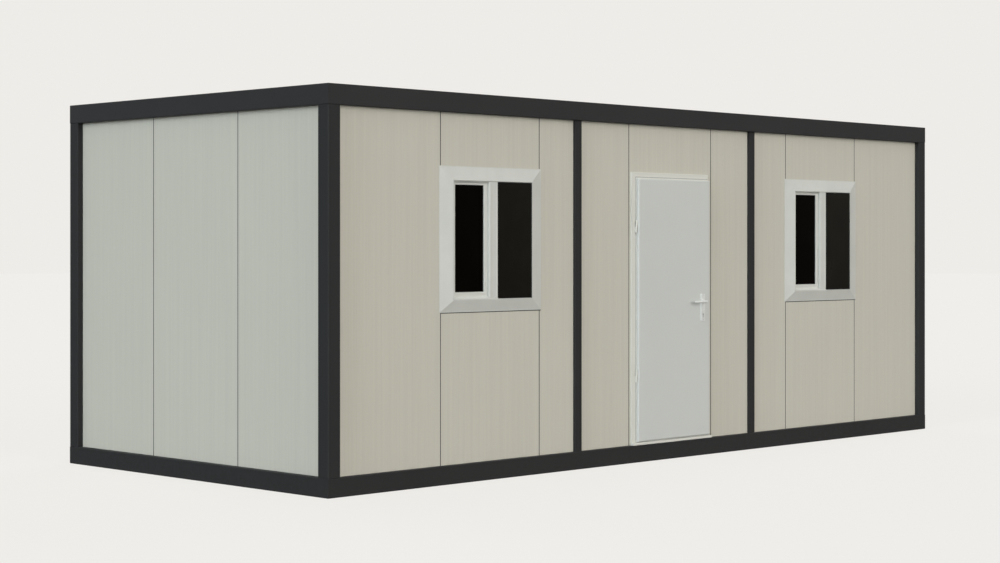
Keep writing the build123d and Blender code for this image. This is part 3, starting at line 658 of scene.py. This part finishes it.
def moulding(made, wall, outline, section, leave_out=()):
    """One bar round a rectangle, mitred at its corners; its section runs (inwards, proud).

    It starts after the sides that are left out, and closes on itself if there are none.
    """
    low, high, foot, head = outline
    corners = [(low, foot), (high, foot), (high, head), (low, head)]
    ways = [(1, 0), (0, 1), (-1, 0), (0, -1)]
    kept = [side not in leave_out for side in SIDES]
    start = 0
    if not all(kept):
        start = [side for side in range(4) if kept[side] and not kept[side - 1]][0]

    def ring(corner, lean):
        return [
            made.verts.new(wall.point(corner[0] + inset * lean[0], corner[1] + inset * lean[1], proud))
            for inset, proud in section
        ]

    rings = []
    for number in range(start, start + sum(kept)):
        way, inward = ways[number % 4], ways[(number + 1) % 4]
        mitre = 1 if kept[(number - 1) % 4] else 0
        lean = (inward[0] + way[0] * mitre, inward[1] + way[1] * mitre)
        rings.append(ring(corners[number % 4], lean))
    if not all(kept):
        rings.append(ring(corners[(number + 1) % 4], inward))
    join_rings(made, rings, closed=all(kept))


def turned(made, centre, axis, profile, segments=24, closed=False):
    """A round piece turned about an axis; its profile runs (radius, distance along the axis)."""
    axis = Vector(axis)
    side = axis.orthogonal().normalized()
    other = axis.cross(side)
    rings = []
    for radius, along in profile:
        ring = []
        for step in range(segments):
            angle = math.tau * step / segments
            spoke = side * math.cos(angle) + other * math.sin(angle)
            ring.append(made.verts.new(Vector(centre) + axis * along + spoke * radius))
        rings.append(ring)
    join_rings(made, rings, closed)


def mm(*pairs):
    """A section or profile, from millimetres."""
    return [(first * MM, second * MM) for first, second in pairs]


def set_at(section, proud, way=1):
    """A section moved out to some distance from the wall; way -1 turns it to face inwards."""
    return [(across, proud + way * out) for across, out in section]


# ---------------------------------------------------------------- windows

SILL_BEAD = mm(
    (0.4, 5.4), (0.4, 24.2), (4.5, 25.8), (5.5, 25.2), (9, 21), (14, 14), (17.5, 6.5), (18, 5.4),
)
MULLION_STRIP = mm(
    (0, 20.1), (0, 21.2), (1, 21.9), (14, 25.0), (17, 25.1), (19.5, 24.2), (21, 22.7), (74, 22.4),
    (78, 22.6), (81, 24), (84, 24.4), (86.5, 23.8), (87.5, 22.5), (87.5, 20.1),
)
MULLION_FLANGE = mm((0, 5.2), (0, 20), (10.6, 20), (10.6, 5.2))
MULLION_STRIP_OFF = 3.0 * MM        # from the fixed pane's edge
MULLION_STRIP_FOOT = 13.0 * MM      # above the opening's foot, over the sill bead
MULLION_FLANGE_FOOT = 18.2 * MM     # just over the sill bead
SASH_BEAD = mm((-3, 5), (-3, 5.6), (-8.5, 9), (-10, 9), (-11, 8), (-11, 5))
SASH_GASKET = mm((0, -5), (3, -5), (3, -4.2), (1, -0.5), (0, 0))
PANE_GASKET = mm(
    (-0.5, 18), (-0.5, 23.6), (1.6, 23.6), (2, 23.3), (2, 23), (0, 22.9), (0, 18),
)
MULLION_GASKET = mm(
    (-2.8, 20.1), (-2.8, 22.4), (-2.2, 23), (1.2, 23.6), (1.8, 23.3), (1.8, 23), (0, 22.9), (0, 20.1),
)
PANE_SIDE_GASKET = mm(
    (-2.5, 23), (-2, 24.6), (0, 26.6), (2.2, 26.7), (2.8, 26.4), (2.8, 25.6), (0, 23),
)
TRACK_COVER = mm((-12, -9.9), (-12, 8.4), (-11.2, 9.2), (-0.6, 7.8), (-0.6, -9.9))
HEAD_BEAD = mm((-3.2, 17), (-3.2, 24.2), (-2.6, 25.2), (-0.6, 25.6), (-0.6, 17))
SURROUND_SHADOW_STRIP = mm((-6.4, 0), (-6.4, 1.3), (-5.6, 1.7), (-0.2, 1.7), (-0.2, 0))
FINGER_PULL = mm((0, 5), (0, 9.5), (2.5, 13), (7.5, 13), (10, 9.5), (10, 5))
PANE_GAP = 2.5 * MM                 # from the fixed pane to the casing round it
UPRIGHT_GAP = 1.0 * MM              # what an upright stops short of the casing's foot and head
SILL_BEAD_GAPS = (0.4 * MM, 0.2 * MM)       # from the casing, and from the fixed pane
TRACK_COVER_GAPS = (0.6 * MM, 0.4 * MM)     # from the casing, and from the mullion strip
FINGER_PULL_OFF = 22.0 * MM         # beside the sash's glass
FINGER_PULL_SPAN = (30.0 * MM, 72.0 * MM)   # over the foot of the sash's glass
SHADOW_STRIP_PAST = 3.0 * MM           # past the panel's edges, into the seams


def front_wall():
    """The outer face of the wall with the door."""
    return Wall((0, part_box("front_panel_1")[0].y, 0), (1, 0, 0), (0, -1, 0))


def dress_window(side, panel):
    """The beads, gaskets and cover strips of one window, on its CAD casing and sash."""
    wall = front_wall()
    name = f"window_{side}"
    rim_low, rim_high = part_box(f"{name}_surround")
    glass_low, glass_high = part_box(f"{name}_sash_pane")
    pane_low, pane_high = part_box(f"{name}_fixed_pane")
    foot, head, high = pane_low.z - PANE_GAP, pane_high.z + PANE_GAP, pane_high.x + PANE_GAP
    low = rim_low.x + rim_high.x - high
    mullion_low = pane_low.x - MULLION_STRIP[-1][0] - MULLION_STRIP_OFF
    glass = (glass_low.x, glass_high.x, glass_low.z, glass_high.z)
    pane = (pane_low.x, pane_high.x, pane_low.z, pane_high.z)
    panel_low, panel_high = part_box(panel)

    def fit(piece, made, material):
        finish_piece(f"{name}_{piece}", made, material, "cabin", MOULDED)

    made = bmesh.new()
    bead_low, bead_high = low + SILL_BEAD_GAPS[0], pane_low.x - SILL_BEAD_GAPS[1]
    level_bar(made, wall, bead_low, bead_high, foot, SILL_BEAD)
    fit("sill_bead", made, LIT_SASH_PLASTIC)

    made = bmesh.new()
    upright_head = head - UPRIGHT_GAP
    upright(made, wall, mullion_low, foot + MULLION_STRIP_FOOT, upright_head, MULLION_STRIP)
    upright(made, wall, mullion_low, foot + MULLION_FLANGE_FOOT, upright_head, MULLION_FLANGE)
    fit("mullion_strip", made, WINDOW_PLASTIC)

    made = bmesh.new()
    moulding(made, wall, glass, SASH_BEAD)
    fit("sash_bead", made, LIT_SASH_PLASTIC)

    made = bmesh.new()
    cover_low, cover_high = low + TRACK_COVER_GAPS[0], mullion_low - TRACK_COVER_GAPS[1]
    level_bar(made, wall, cover_low, cover_high, head, TRACK_COVER)
    level_bar(made, wall, cover_low, cover_high, head, HEAD_BEAD)
    fit("track_cover", made, LIT_SASH_PLASTIC)

    made = bmesh.new()
    pull_foot, pull_head = [glass_low.z + height for height in FINGER_PULL_SPAN]
    upright(made, wall, glass_high.x + FINGER_PULL_OFF, pull_foot, pull_head, FINGER_PULL)
    fit("finger_pull", made, LIT_SASH_PLASTIC)

    made = bmesh.new()
    moulding(made, wall, glass, SASH_GASKET)
    moulding(made, wall, pane, PANE_GASKET, ("left",))
    upright(made, wall, high, foot + UPRIGHT_GAP, upright_head, PANE_SIDE_GASKET)
    upright(made, wall, pane_low.x, foot + UPRIGHT_GAP, upright_head, MULLION_GASKET)
    fit("gaskets", made, RUBBER)

    # under the surround's foot: a dark strip of painted shadow
    made = bmesh.new()
    shadow_low, shadow_high = panel_low.x - SHADOW_STRIP_PAST, panel_high.x + SHADOW_STRIP_PAST
    level_bar(made, wall, shadow_low, shadow_high, rim_low.z, SURROUND_SHADOW_STRIP)
    fit("foot_shadow_strip", made, PAINTED_SHADOW_BROWN)


# ---------------------------------------------------------------- door

LEAF_ROUND = 11.0 * MM
LEAF_ROUND_STEPS = 5
LEAF_SUPPORT = 1.0 * MM         # a narrow flat inside the rounding, which keeps the face even
SLAB = 20.0 * MM                # how thick the part is that laps the frame
BODY_IN_HINGE = 15.0 * MM       # how far the body lies inside the slab
BODY_IN_LOCK = 18.0 * MM
BODY_IN_HEAD = 16.0 * MM
BODY_IN_FOOT = 0.2 * MM
BODY_EDGE = 1.5 * MM
POCKET_IN = 7.0 * MM            # the lock's pocket inside its plates

# the leaf's seals: (inwards, proud of the slab's back), and (upwards, proud of the leaf's face)
LEAF_SEAL = mm((0.4, 0), (0.4, -3.7), (1.2, -4.7), (7, -4.7), (8.5, -3.7), (9, 0))
DROP_SEAL = mm((0, -8), (-3.5, -9), (-4.8, -11), (-4.8, -15), (0, -17))


def rectangle_ring(made, wall, outline, inset, proud):
    """Four points round a rectangle, some way in from its edges."""
    low, high, foot, head = outline
    return [
        made.verts.new(wall.point(distance, height, proud))
        for distance, height in (
            (low + inset, foot + inset), (high - inset, foot + inset),
            (high - inset, head - inset), (low + inset, head - inset),
        )
    ]


def hang_leaf():
    """The door leaf: a slab with softly rounded edges, lapping the frame, on a body inside it."""
    wall = front_wall()
    low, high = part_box("door_leaf")
    face, back = wall.origin.y - low.y, wall.origin.y - high.y
    slab = (low.x, high.x, low.z, high.z)
    body = (
        low.x + BODY_IN_HINGE, high.x - BODY_IN_LOCK,
        low.z + BODY_IN_FOOT, high.z - BODY_IN_HEAD,
    )
    plate_low, plate_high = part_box("door_lock_plates")
    pocket = (
        plate_low.x + POCKET_IN, plate_high.x - POCKET_IN,
        plate_low.z + POCKET_IN, plate_high.z - POCKET_IN,
    )
    made = bmesh.new()
    rings = [
        rectangle_ring(made, wall, pocket, 0.0, face),
        rectangle_ring(made, wall, slab, LEAF_ROUND + LEAF_SUPPORT, face),
    ]
    for step in range(LEAF_ROUND_STEPS + 1):
        angle = math.radians(90.0) * step / LEAF_ROUND_STEPS
        rings.append(rectangle_ring(
            made, wall, slab,
            LEAF_ROUND * (1 - math.sin(angle)), face - LEAF_ROUND * (1 - math.cos(angle)),
        ))
    rings += [
        rectangle_ring(made, wall, slab, 0.0, face - SLAB),
        rectangle_ring(made, wall, body, 0.0, face - SLAB),
        rectangle_ring(made, wall, body, 0.0, back + BODY_EDGE),
        rectangle_ring(made, wall, body, BODY_EDGE, back),
        rectangle_ring(made, wall, pocket, 0.0, back),
    ]
    join_rings(made, rings, closed=True)
    leaf = finish_piece("door_leaf_shell", made, DOOR_PAINT, "door", FOLDED)
    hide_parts("door_leaf")

    made = bmesh.new()
    moulding(made, wall, slab, set_at(LEAF_SEAL, face - SLAB), ("foot",))
    level_bar(made, wall, body[0], body[1], low.z, set_at(DROP_SEAL, face))
    finish_piece("door_leaf_seals", made, PALE_RUBBER, "door", MOULDED)


FRAME_TRIM = mm(
    (0, 0), (0, 13.2), (0.6, 13.6), (9, 13.6), (9.6, 13.2), (9.6, 12.05), (1, 12.05), (1, 0),
)
FRAME_SHADOW_LINE = mm((0, 11.9), (0, 12.2), (0.6, 12.5), (4.6, 12.5), (5.2, 12.2), (5.2, 11.9))
LOCK_TRIM = mm((0, 0), (0, 5.4), (1, 6.2), (7, 6.2), (8, 5.4), (8, 0))
TRIM_WALL = 1.0 * MM            # the trim's sheet, which stands outside the frame
TRIM_FOOT = 1.0 * MM            # over the frame's foot
LOCK_TRIM_OFF = 0.3 * MM
FRAME_SHADOW_LINE_OFF = (12.0 * MM, 13.0 * MM)     # outside the leaf: hinge side, head


def trim_doorway():
    """The folded trim round the door frame, and a flat grey strip let into the frame's face beside the
    leaf, painted shadow for the gap between them.
    """
    wall = front_wall()
    low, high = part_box("door_frame")
    leaf_low, leaf_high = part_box("door_leaf")
    foot = low.z + TRIM_FOOT

    made = bmesh.new()
    outline = (low.x - TRIM_WALL, high.x, foot, high.z + TRIM_WALL)
    moulding(made, wall, outline, FRAME_TRIM, ("foot", "right"))
    upright(made, wall, high.x + LOCK_TRIM_OFF, foot, high.z, LOCK_TRIM)
    finish_piece("door_frame_trim", made, DOOR_FRAME_PAINT, "cabin", FOLDED)

    # beside the leaf: a grey strip of painted shadow
    made = bmesh.new()
    outline = (leaf_low.x - FRAME_SHADOW_LINE_OFF[0], leaf_high.x, foot, leaf_high.z + FRAME_SHADOW_LINE_OFF[1])
    moulding(made, wall, outline, FRAME_SHADOW_LINE, ("foot", "right"))
    finish_piece("door_frame_shadow_line", made, GREY_PAINTED_SHADOW, "cabin", FOLDED)


LEVER_STATIONS = 20             # rings along an arm, and points round each
LEVER_POINTS = 20
LEVER_SQUARENESS = 0.8          # 1 is an oval section, and less is squarer
LEVER_HALF_DEPTH = 6.5 * MM
LEVER_AXIS_IN = 10.0 * MM       # from the arms' heel to the axis they turn on
LEVER_TIP = 0.88                # the arm's height at its tip, as a share of that at its heel
LEVER_END_POWER = 14            # how suddenly an arm rounds off at its ends
LEVER_END = 0.22                # the flat that is left at each end, as a share of the section
SPINDLE = 5.9 * MM
SPINDLE_IN = 14.0 * MM          # from the arms' faces
LEVER_NECK = mm((9.8, 41.8), (9.8, 38), (8.6, 35), (8.2, 30), (8.2, 16), (8.8, 12), (9.2, 8))


def shape_lever():
    """The lever: on each side a round neck and a soft, slightly tapering arm."""
    wall = front_wall()
    low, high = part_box("door_lever")
    face, back = wall.origin.y - low.y, wall.origin.y - high.y
    middle, half_length = (low.x + high.x) / 2, (high.x - low.x) / 2
    height, half_height = (low.z + high.z) / 2, (high.z - low.z) / 2
    axis = wall.point(high.x - LEVER_AXIS_IN, height, 0)
    made = bmesh.new()
    spindle = [(SPINDLE, back + SPINDLE_IN), (SPINDLE, face - SPINDLE_IN)]
    turned(made, axis, wall.outwards, spindle)
    for arm_face, way in ((face, 1), (back, -1)):
        # depths run inwards from the arm's face
        turned(made, axis, wall.outwards, set_at(LEVER_NECK, arm_face, -way))
        rings = []
        for station in range(LEVER_STATIONS + 1):
            along = math.cos(math.pi * station / LEVER_STATIONS)
            end = max((1 - abs(along) ** LEVER_END_POWER) ** 0.5, LEVER_END)
            taper = LEVER_TIP + (1 - LEVER_TIP) * (along + 1) / 2
            ring = []
            for point in range(LEVER_POINTS):
                angle = math.tau * point / LEVER_POINTS
                sine, cosine = math.sin(angle), math.cos(angle)
                up = math.copysign(abs(sine) ** LEVER_SQUARENESS, sine)
                out = math.copysign(abs(cosine) ** LEVER_SQUARENESS, cosine)
                ring.append(made.verts.new(wall.point(
                    middle + half_length * along,
                    height + half_height * taper * end * up,
                    arm_face - way * LEVER_HALF_DEPTH * (1 - end * out),
                )))
            rings.append(ring)
        join_rings(made, rings)
    lever = finish_piece(
        "door_lever_handles", made, HANDLE_METAL, "lever", ROUNDED
    )
    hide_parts("door_lever")


BEARING_RING = mm((10.8, 0), (10.8, 2.6), (11.6, 3.2), (14.6, 3.0), (16.4, 1.6), (16.8, 0))
SCREW_HEAD = mm((4.2, 0), (4.1, 0.5), (3.2, 1.1), (1.5, 1.3))
# the screw slots and keyways are drawn as black bars: painted shade in place of their hollows
SCREW_SLOT = mm((-0.45, 1.0), (-0.45, 1.36), (0.45, 1.36), (0.45, 1.0))
SCREW_SLOT_HALF = 2.8 * MM
SCREW_IN = 9.0 * MM             # from a plate's foot or head
KEY_PLUG = mm((6.6, 0), (6.6, 0.5), (6.2, 0.8), (2.0, 0.8))
KEYWAY = mm((-0.9, 0.5), (-0.9, 0.9), (0.9, 0.9), (0.9, 0.5))
KEYWAY_HALF = 4.2 * MM
KEY_IN = 8.5 * MM               # from the cylinder's head to its key plug
FOREND = mm((-10, 0), (-10, 0.9), (-9.4, 1.4), (9.4, 1.4), (10, 0.9), (10, 0))
FOREND_PAST = 10.0 * MM         # past the plates' foot and head
FOREND_IN = 14.0 * MM           # from the leaf's back
LATCH = mm((-6, 1.4), (-6, 1.8), (4, 4.4), (6, 4.4), (6, 1.4))
LATCH_SPAN = (72.0 * MM, 44.0 * MM)         # under the plates' head


def fit_lock():
    """What is on the lock plates, with the forend and its latch in the leaf's free edge."""
    wall = front_wall()
    plate_low, plate_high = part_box("door_lock_plates")
    core_low, core_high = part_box("door_lock_cylinder")
    lever_low, lever_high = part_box("door_lever")
    leaf_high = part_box("door_leaf")[1]
    face, back = wall.origin.y - plate_low.y, wall.origin.y - plate_high.y
    core_face, core_back = wall.origin.y - core_low.y, wall.origin.y - core_high.y
    across = (core_low.x + core_high.x) / 2
    lever_height = (lever_low.z + lever_high.z) / 2
    key_height = core_high.z - KEY_IN

    # black bars on the screw heads and key plugs: painted shade for the slots and keyways
    rings, screws, plugs, slots = bmesh.new(), bmesh.new(), bmesh.new(), bmesh.new()
    for way, plate_face, key_face in ((1, face, core_face), (-1, back, core_back)):
        out = wall.outwards * way
        spot = wall.point(across, lever_height, plate_face)
        turned(rings, spot, out, BEARING_RING, segments=32, closed=True)
        for height in (plate_low.z + SCREW_IN, plate_high.z - SCREW_IN):
            turned(screws, wall.point(across, height, plate_face), out, SCREW_HEAD, segments=20)
            slot_foot, slot_head = height - SCREW_SLOT_HALF, height + SCREW_SLOT_HALF
            slot = set_at(SCREW_SLOT, plate_face, way)
            upright(slots, wall, across, slot_foot, slot_head, slot)
        turned(plugs, wall.point(across, key_height, key_face), out, KEY_PLUG, segments=28)
        slot_foot, slot_head = key_height - KEYWAY_HALF, key_height + KEYWAY_HALF
        upright(slots, wall, across, slot_foot, slot_head, set_at(KEYWAY, key_face, way))
    finish_piece("handle_bearing_rings", rings, HANDLE_METAL, "door", MOULDED)
    finish_piece("lock_plate_screws", screws, LOCK_METAL, "door", MOULDED)
    finish_piece("lock_key_plugs", plugs, LOCK_METAL, "door", MOULDED)
    finish_piece("lock_slots_painted_shade", slots, RUBBER, "door")

    edge = leaf_high.x - BODY_IN_LOCK
    forend_proud = wall.origin.y - leaf_high.y + FOREND_IN
    edge_wall = Wall(wall.point(edge, 0, forend_proud), wall.outwards, (1, 0, 0))
    made = bmesh.new()
    forend_foot, forend_head = plate_low.z - FOREND_PAST, plate_high.z + FOREND_PAST
    upright(made, edge_wall, 0, forend_foot, forend_head, FOREND)
    latch_foot, latch_head = [plate_high.z - height for height in LATCH_SPAN]
    upright(made, edge_wall, 0, latch_foot, latch_head, LATCH)
    finish_piece("lock_forend", made, LOCK_METAL, "door")


HINGE_CAP = mm((6.5, -3), (7.0, -2.6), (7.0, 0), (6.6, 1.6), (5.2, 2.8), (2.4, 3.6))
KNUCKLE = 6.5 * MM              # a knuckle's radius and length, and a whole hinge's length
KNUCKLE_LENGTH = 44.75 * MM
HINGE_LENGTH = 90.0 * MM


def cap_hinges():
    """Small domed caps: on the leaf's knuckles at the top, and on the frame's at the foot."""
    frame_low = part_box("door_frame_hinges")[0]
    leaf_low, leaf_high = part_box("door_leaf_hinges")
    pin_x, pin_y = frame_low.x + KNUCKLE, frame_low.y + KNUCKLE
    caps = (
        ("door_leaf_hinges", "door", 1, (leaf_high.z, leaf_low.z + KNUCKLE_LENGTH)),
        ("door_frame_hinges", "cabin", -1, (frame_low.z, leaf_high.z - HINGE_LENGTH)),
    )
    for node, body, way, heights in caps:
        made = bmesh.new()
        for height in heights:
            turned(made, (pin_x, pin_y, height), (0, 0, way), HINGE_CAP)
        finish_piece(f"{node}_caps", made, DOOR_FRAME_PAINT, body, ROUNDED)


# ---------------------------------------------------------------- roof and room

ROOF_SCREW = mm((8, 0), (8, 1.2), (6.6, 1.8), (4.6, 1.8), (4.6, 5.2), (3.6, 5.8))
SCREWS_A_SHEET = 4
SCREW_ROWS = (0.02, 0.34, 0.66, 0.98)       # shares of the roof's width


def fix_roof():
    """The roof sheets' hexagonal screws with their washers."""
    low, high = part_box("roof_panels")
    seams = [low.x] + [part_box(name)[0].x for name in FRONT_ROW[1:]] + [high.x]
    made = bmesh.new()
    for begin, end in zip(seams, seams[1:]):
        for screw in range(SCREWS_A_SHEET):
            x = begin + (end - begin) * (screw + 0.5) / SCREWS_A_SHEET
            for share in SCREW_ROWS:
                spot = (x, low.y + (high.y - low.y) * share, high.z)
                turned(made, spot, (0, 0, 1), ROOF_SCREW, segments=6)
    finish_piece("roof_screws", made, LOCK_METAL, "cabin")


SKIRTING = mm((0, 0), (11, 0), (11, 52), (8, 58), (4, 60), (0, 60))
SKIRTING_DEPTH, SKIRTING_HEIGHT = SKIRTING[1][0], SKIRTING[-1][1]
CORNICE = mm((0, 0), (30, 0), (30, -4), (4, -30), (0, -30))
CORNICE_HEIGHT = -CORNICE[-1][1]
CORNER_TRIM = mm((0, 0), (0, 28), (2, 28), (4, 4), (28, 2), (28, 0))
SKIRTING_GAP = 0.1 * MM         # between the front wall's skirting and the side walls'
SKIRTING_BEHIND_FRAME = 20.0 * MM           # left of the doorway, it runs in behind the frame
SKIRTING_OFF_FRAME = 12.0 * MM              # right of it, it starts clear of the frame


def line_room():
    """Skirting and cornice round the room, and the angle trims in its corners."""
    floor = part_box("floor_covering")[1].z
    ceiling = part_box("roof_panels")[0].z
    front_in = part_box("front_panel_1")[1].y
    left_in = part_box("left_panel_front")[1].x
    frame_low, frame_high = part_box("door_frame")
    outline = (left_in, -left_in, front_in, -front_in)
    front = Wall((0, front_in, 0), (1, 0, 0), (0, 1, 0))
    back = Wall((0, -front_in, 0), (1, 0, 0), (0, -1, 0))
    floor_plane = Wall((0, 0, floor), (1, 0, 0), (0, 0, 1), up=(0, 1, 0))
    ceiling_plane = Wall((0, 0, ceiling), (1, 0, 0), (0, 0, 1), up=(0, 1, 0))

    made = bmesh.new()
    moulding(made, floor_plane, outline, SKIRTING, ("foot",))
    corner = left_in + SKIRTING_DEPTH + SKIRTING_GAP
    front_section = [(up, proud) for proud, up in SKIRTING]
    for low, high in (
        (corner, frame_low.x + SKIRTING_BEHIND_FRAME),
        (frame_high.x + SKIRTING_OFF_FRAME, -corner),
    ):
        level_bar(made, front, low, high, floor, front_section)
    finish_piece("room_skirting", made, WINDOW_PLASTIC, "cabin", MOULDED)

    made = bmesh.new()
    moulding(made, ceiling_plane, outline, CORNICE)
    finish_piece("room_cornice", made, PANEL_SKIN, "cabin", MOULDED)

    made = bmesh.new()
    foot, head = floor + SKIRTING_HEIGHT, ceiling - CORNICE_HEIGHT
    for wall in (front, back):
        for way in (1, -1):
            trim = [(across * way, proud) for across, proud in CORNER_TRIM]
            upright(made, wall, left_in * way, foot, head, trim)
    finish_piece("room_corner_trims", made, PANEL_SKIN, "cabin", MOULDED)


# ---------------------------------------------------------------- light and floor

BACKDROP = (0.855, 0.839, 0.807, 1.0)
GROUND_GLOW = 0.166         # the room's light from below level and from above it
SKY_GLOW = 0.46
GLOW_TINT = (1.0, 1.0, 0.985, 1.0)
GLOW_BLEND = 0.1            # how far past level the one runs into the other
WARM = (0.995, 0.985, 0.955, 1.0)
COOL = (0.955, 1.095, 1.20, 1.0)

# the strip lights: azimuth in degrees from -Y round to -X, strength and tint
STRIPS = ((2.0, 10.6, WARM), (83.0, 11.65, COOL), (186.0, 7.5, WARM), (256.0, 8.5, COOL))
STRIP_FOCUS = 50.0
STRIP_FOOT = -0.2           # as the height of a ray, where 0 is level and 1 straight up
STRIP_BRIGHTEST = 0.2
STRIP_HEAD = 0.9
STRIP_FRONT = 0.35          # a strip fades in from sideways to here, where 1 is straight ahead


def light_studio():
    """A pale, even room with a tall soft strip light before each of the cabin's four sides."""
    world = bpy.data.worlds.new("studio")
    bpy.context.scene.world = world
    world.use_nodes = True
    world.node_tree.nodes.clear()
    room = Wiring(world.node_tree)
    ray = room.node("ShaderNodeTexCoord").outputs["Generated"]
    height = Level(room, room.node("ShaderNodeSeparateXYZ", None, {0: ray}).outputs["Z"])

    def along(direction):
        """How far a ray runs along a level direction, from -1 to 1."""
        made = room.node("ShaderNodeVectorMath", {"operation": "DOT_PRODUCT"}, {0: ray, 1: direction})
        return Level(room, made.outputs["Value"])

    def strip_light(degrees, strength):
        """A tall strip of light, brightest a little above level."""
        azimuth = math.radians(degrees)
        ahead = along((-math.sin(azimuth), -math.cos(azimuth), 0.0))
        across = along((math.cos(azimuth), -math.sin(azimuth), 0.0))
        narrow = (1.0 - across * across) ** STRIP_FOCUS
        tall = height.span(STRIP_FOOT, STRIP_BRIGHTEST) * height.span(STRIP_HEAD, STRIP_BRIGHTEST)
        return narrow * tall * ahead.span(0.0, STRIP_FRONT) * strength

    lights = [(height.span(-GLOW_BLEND, GLOW_BLEND, GROUND_GLOW, SKY_GLOW), GLOW_TINT)]
    for degrees, strength, tint in STRIPS:
        lights.append((strip_light(degrees, strength), tint))
    lit = None
    for level, tint in lights:
        glow = room.node("ShaderNodeBackground", None, {"Color": tint, "Strength": level}).outputs[0]
        if lit is None:
            lit = glow
        else:
            lit = room.node("ShaderNodeAddShader", None, {0: lit, 1: glow}).outputs[0]
    seen = room.node("ShaderNodeBackground", None, {"Color": BACKDROP, "Strength": 1.0}).outputs[0]
    looking = room.node("ShaderNodeLightPath").outputs["Is Camera Ray"]
    mix = room.node("ShaderNodeMixShader", None, {0: looking, 1: lit, 2: seen})
    room.node("ShaderNodeOutputWorld", None, {"Surface": mix.outputs[0]})


FLOOR_REACH = 90.0
FLOOR_TINT = (0.96, 0.95, 0.92, 1.0)
FLOOR_SHADE = 0.1           # how much of the floor takes shade, and doesn't glow


def lay_floor():
    """The studio floor, as pale as the room behind it."""
    made = bmesh.new()
    bmesh.ops.create_grid(made, x_segments=4, y_segments=4, size=FLOOR_REACH)
    mesh = bpy.data.meshes.new("studio_floor")
    made.to_mesh(mesh)
    made.free()
    finish = Finish("studio_floor", Roughness=1.0, Specular_IOR_Level=0.0)
    finish.feed(finish.shader.inputs["Base Color"], FLOOR_TINT)
    glow = finish.node("ShaderNodeEmission", None, {"Color": BACKDROP, "Strength": 1.0})
    mix = finish.node(
        "ShaderNodeMixShader", None,
        {0: FLOOR_SHADE, 1: glow.outputs[0], 2: finish.shader.outputs[0]},
    )
    finish.feed(finish.tree.nodes["Material Output"].inputs["Surface"], mix.outputs[0])
    mesh.materials.append(finish.material)
    floor = bpy.data.objects.new("studio_floor", mesh)
    floor.visible_diffuse = False
    floor.visible_glossy = False
    floor.visible_shadow = False
    bpy.context.scene.collection.objects.link(floor)


bpy.context.scene.view_settings.view_transform = "Standard"
place_camera()
light_studio()
lay_floor()
finish_cad_pieces()
skin_walls()
dress_window("left", "front_panel_2")
dress_window("right", "front_panel_6")
hang_leaf()
trim_doorway()
shape_lever()
fit_lock()
cap_hinges()
fix_roof()
line_room()
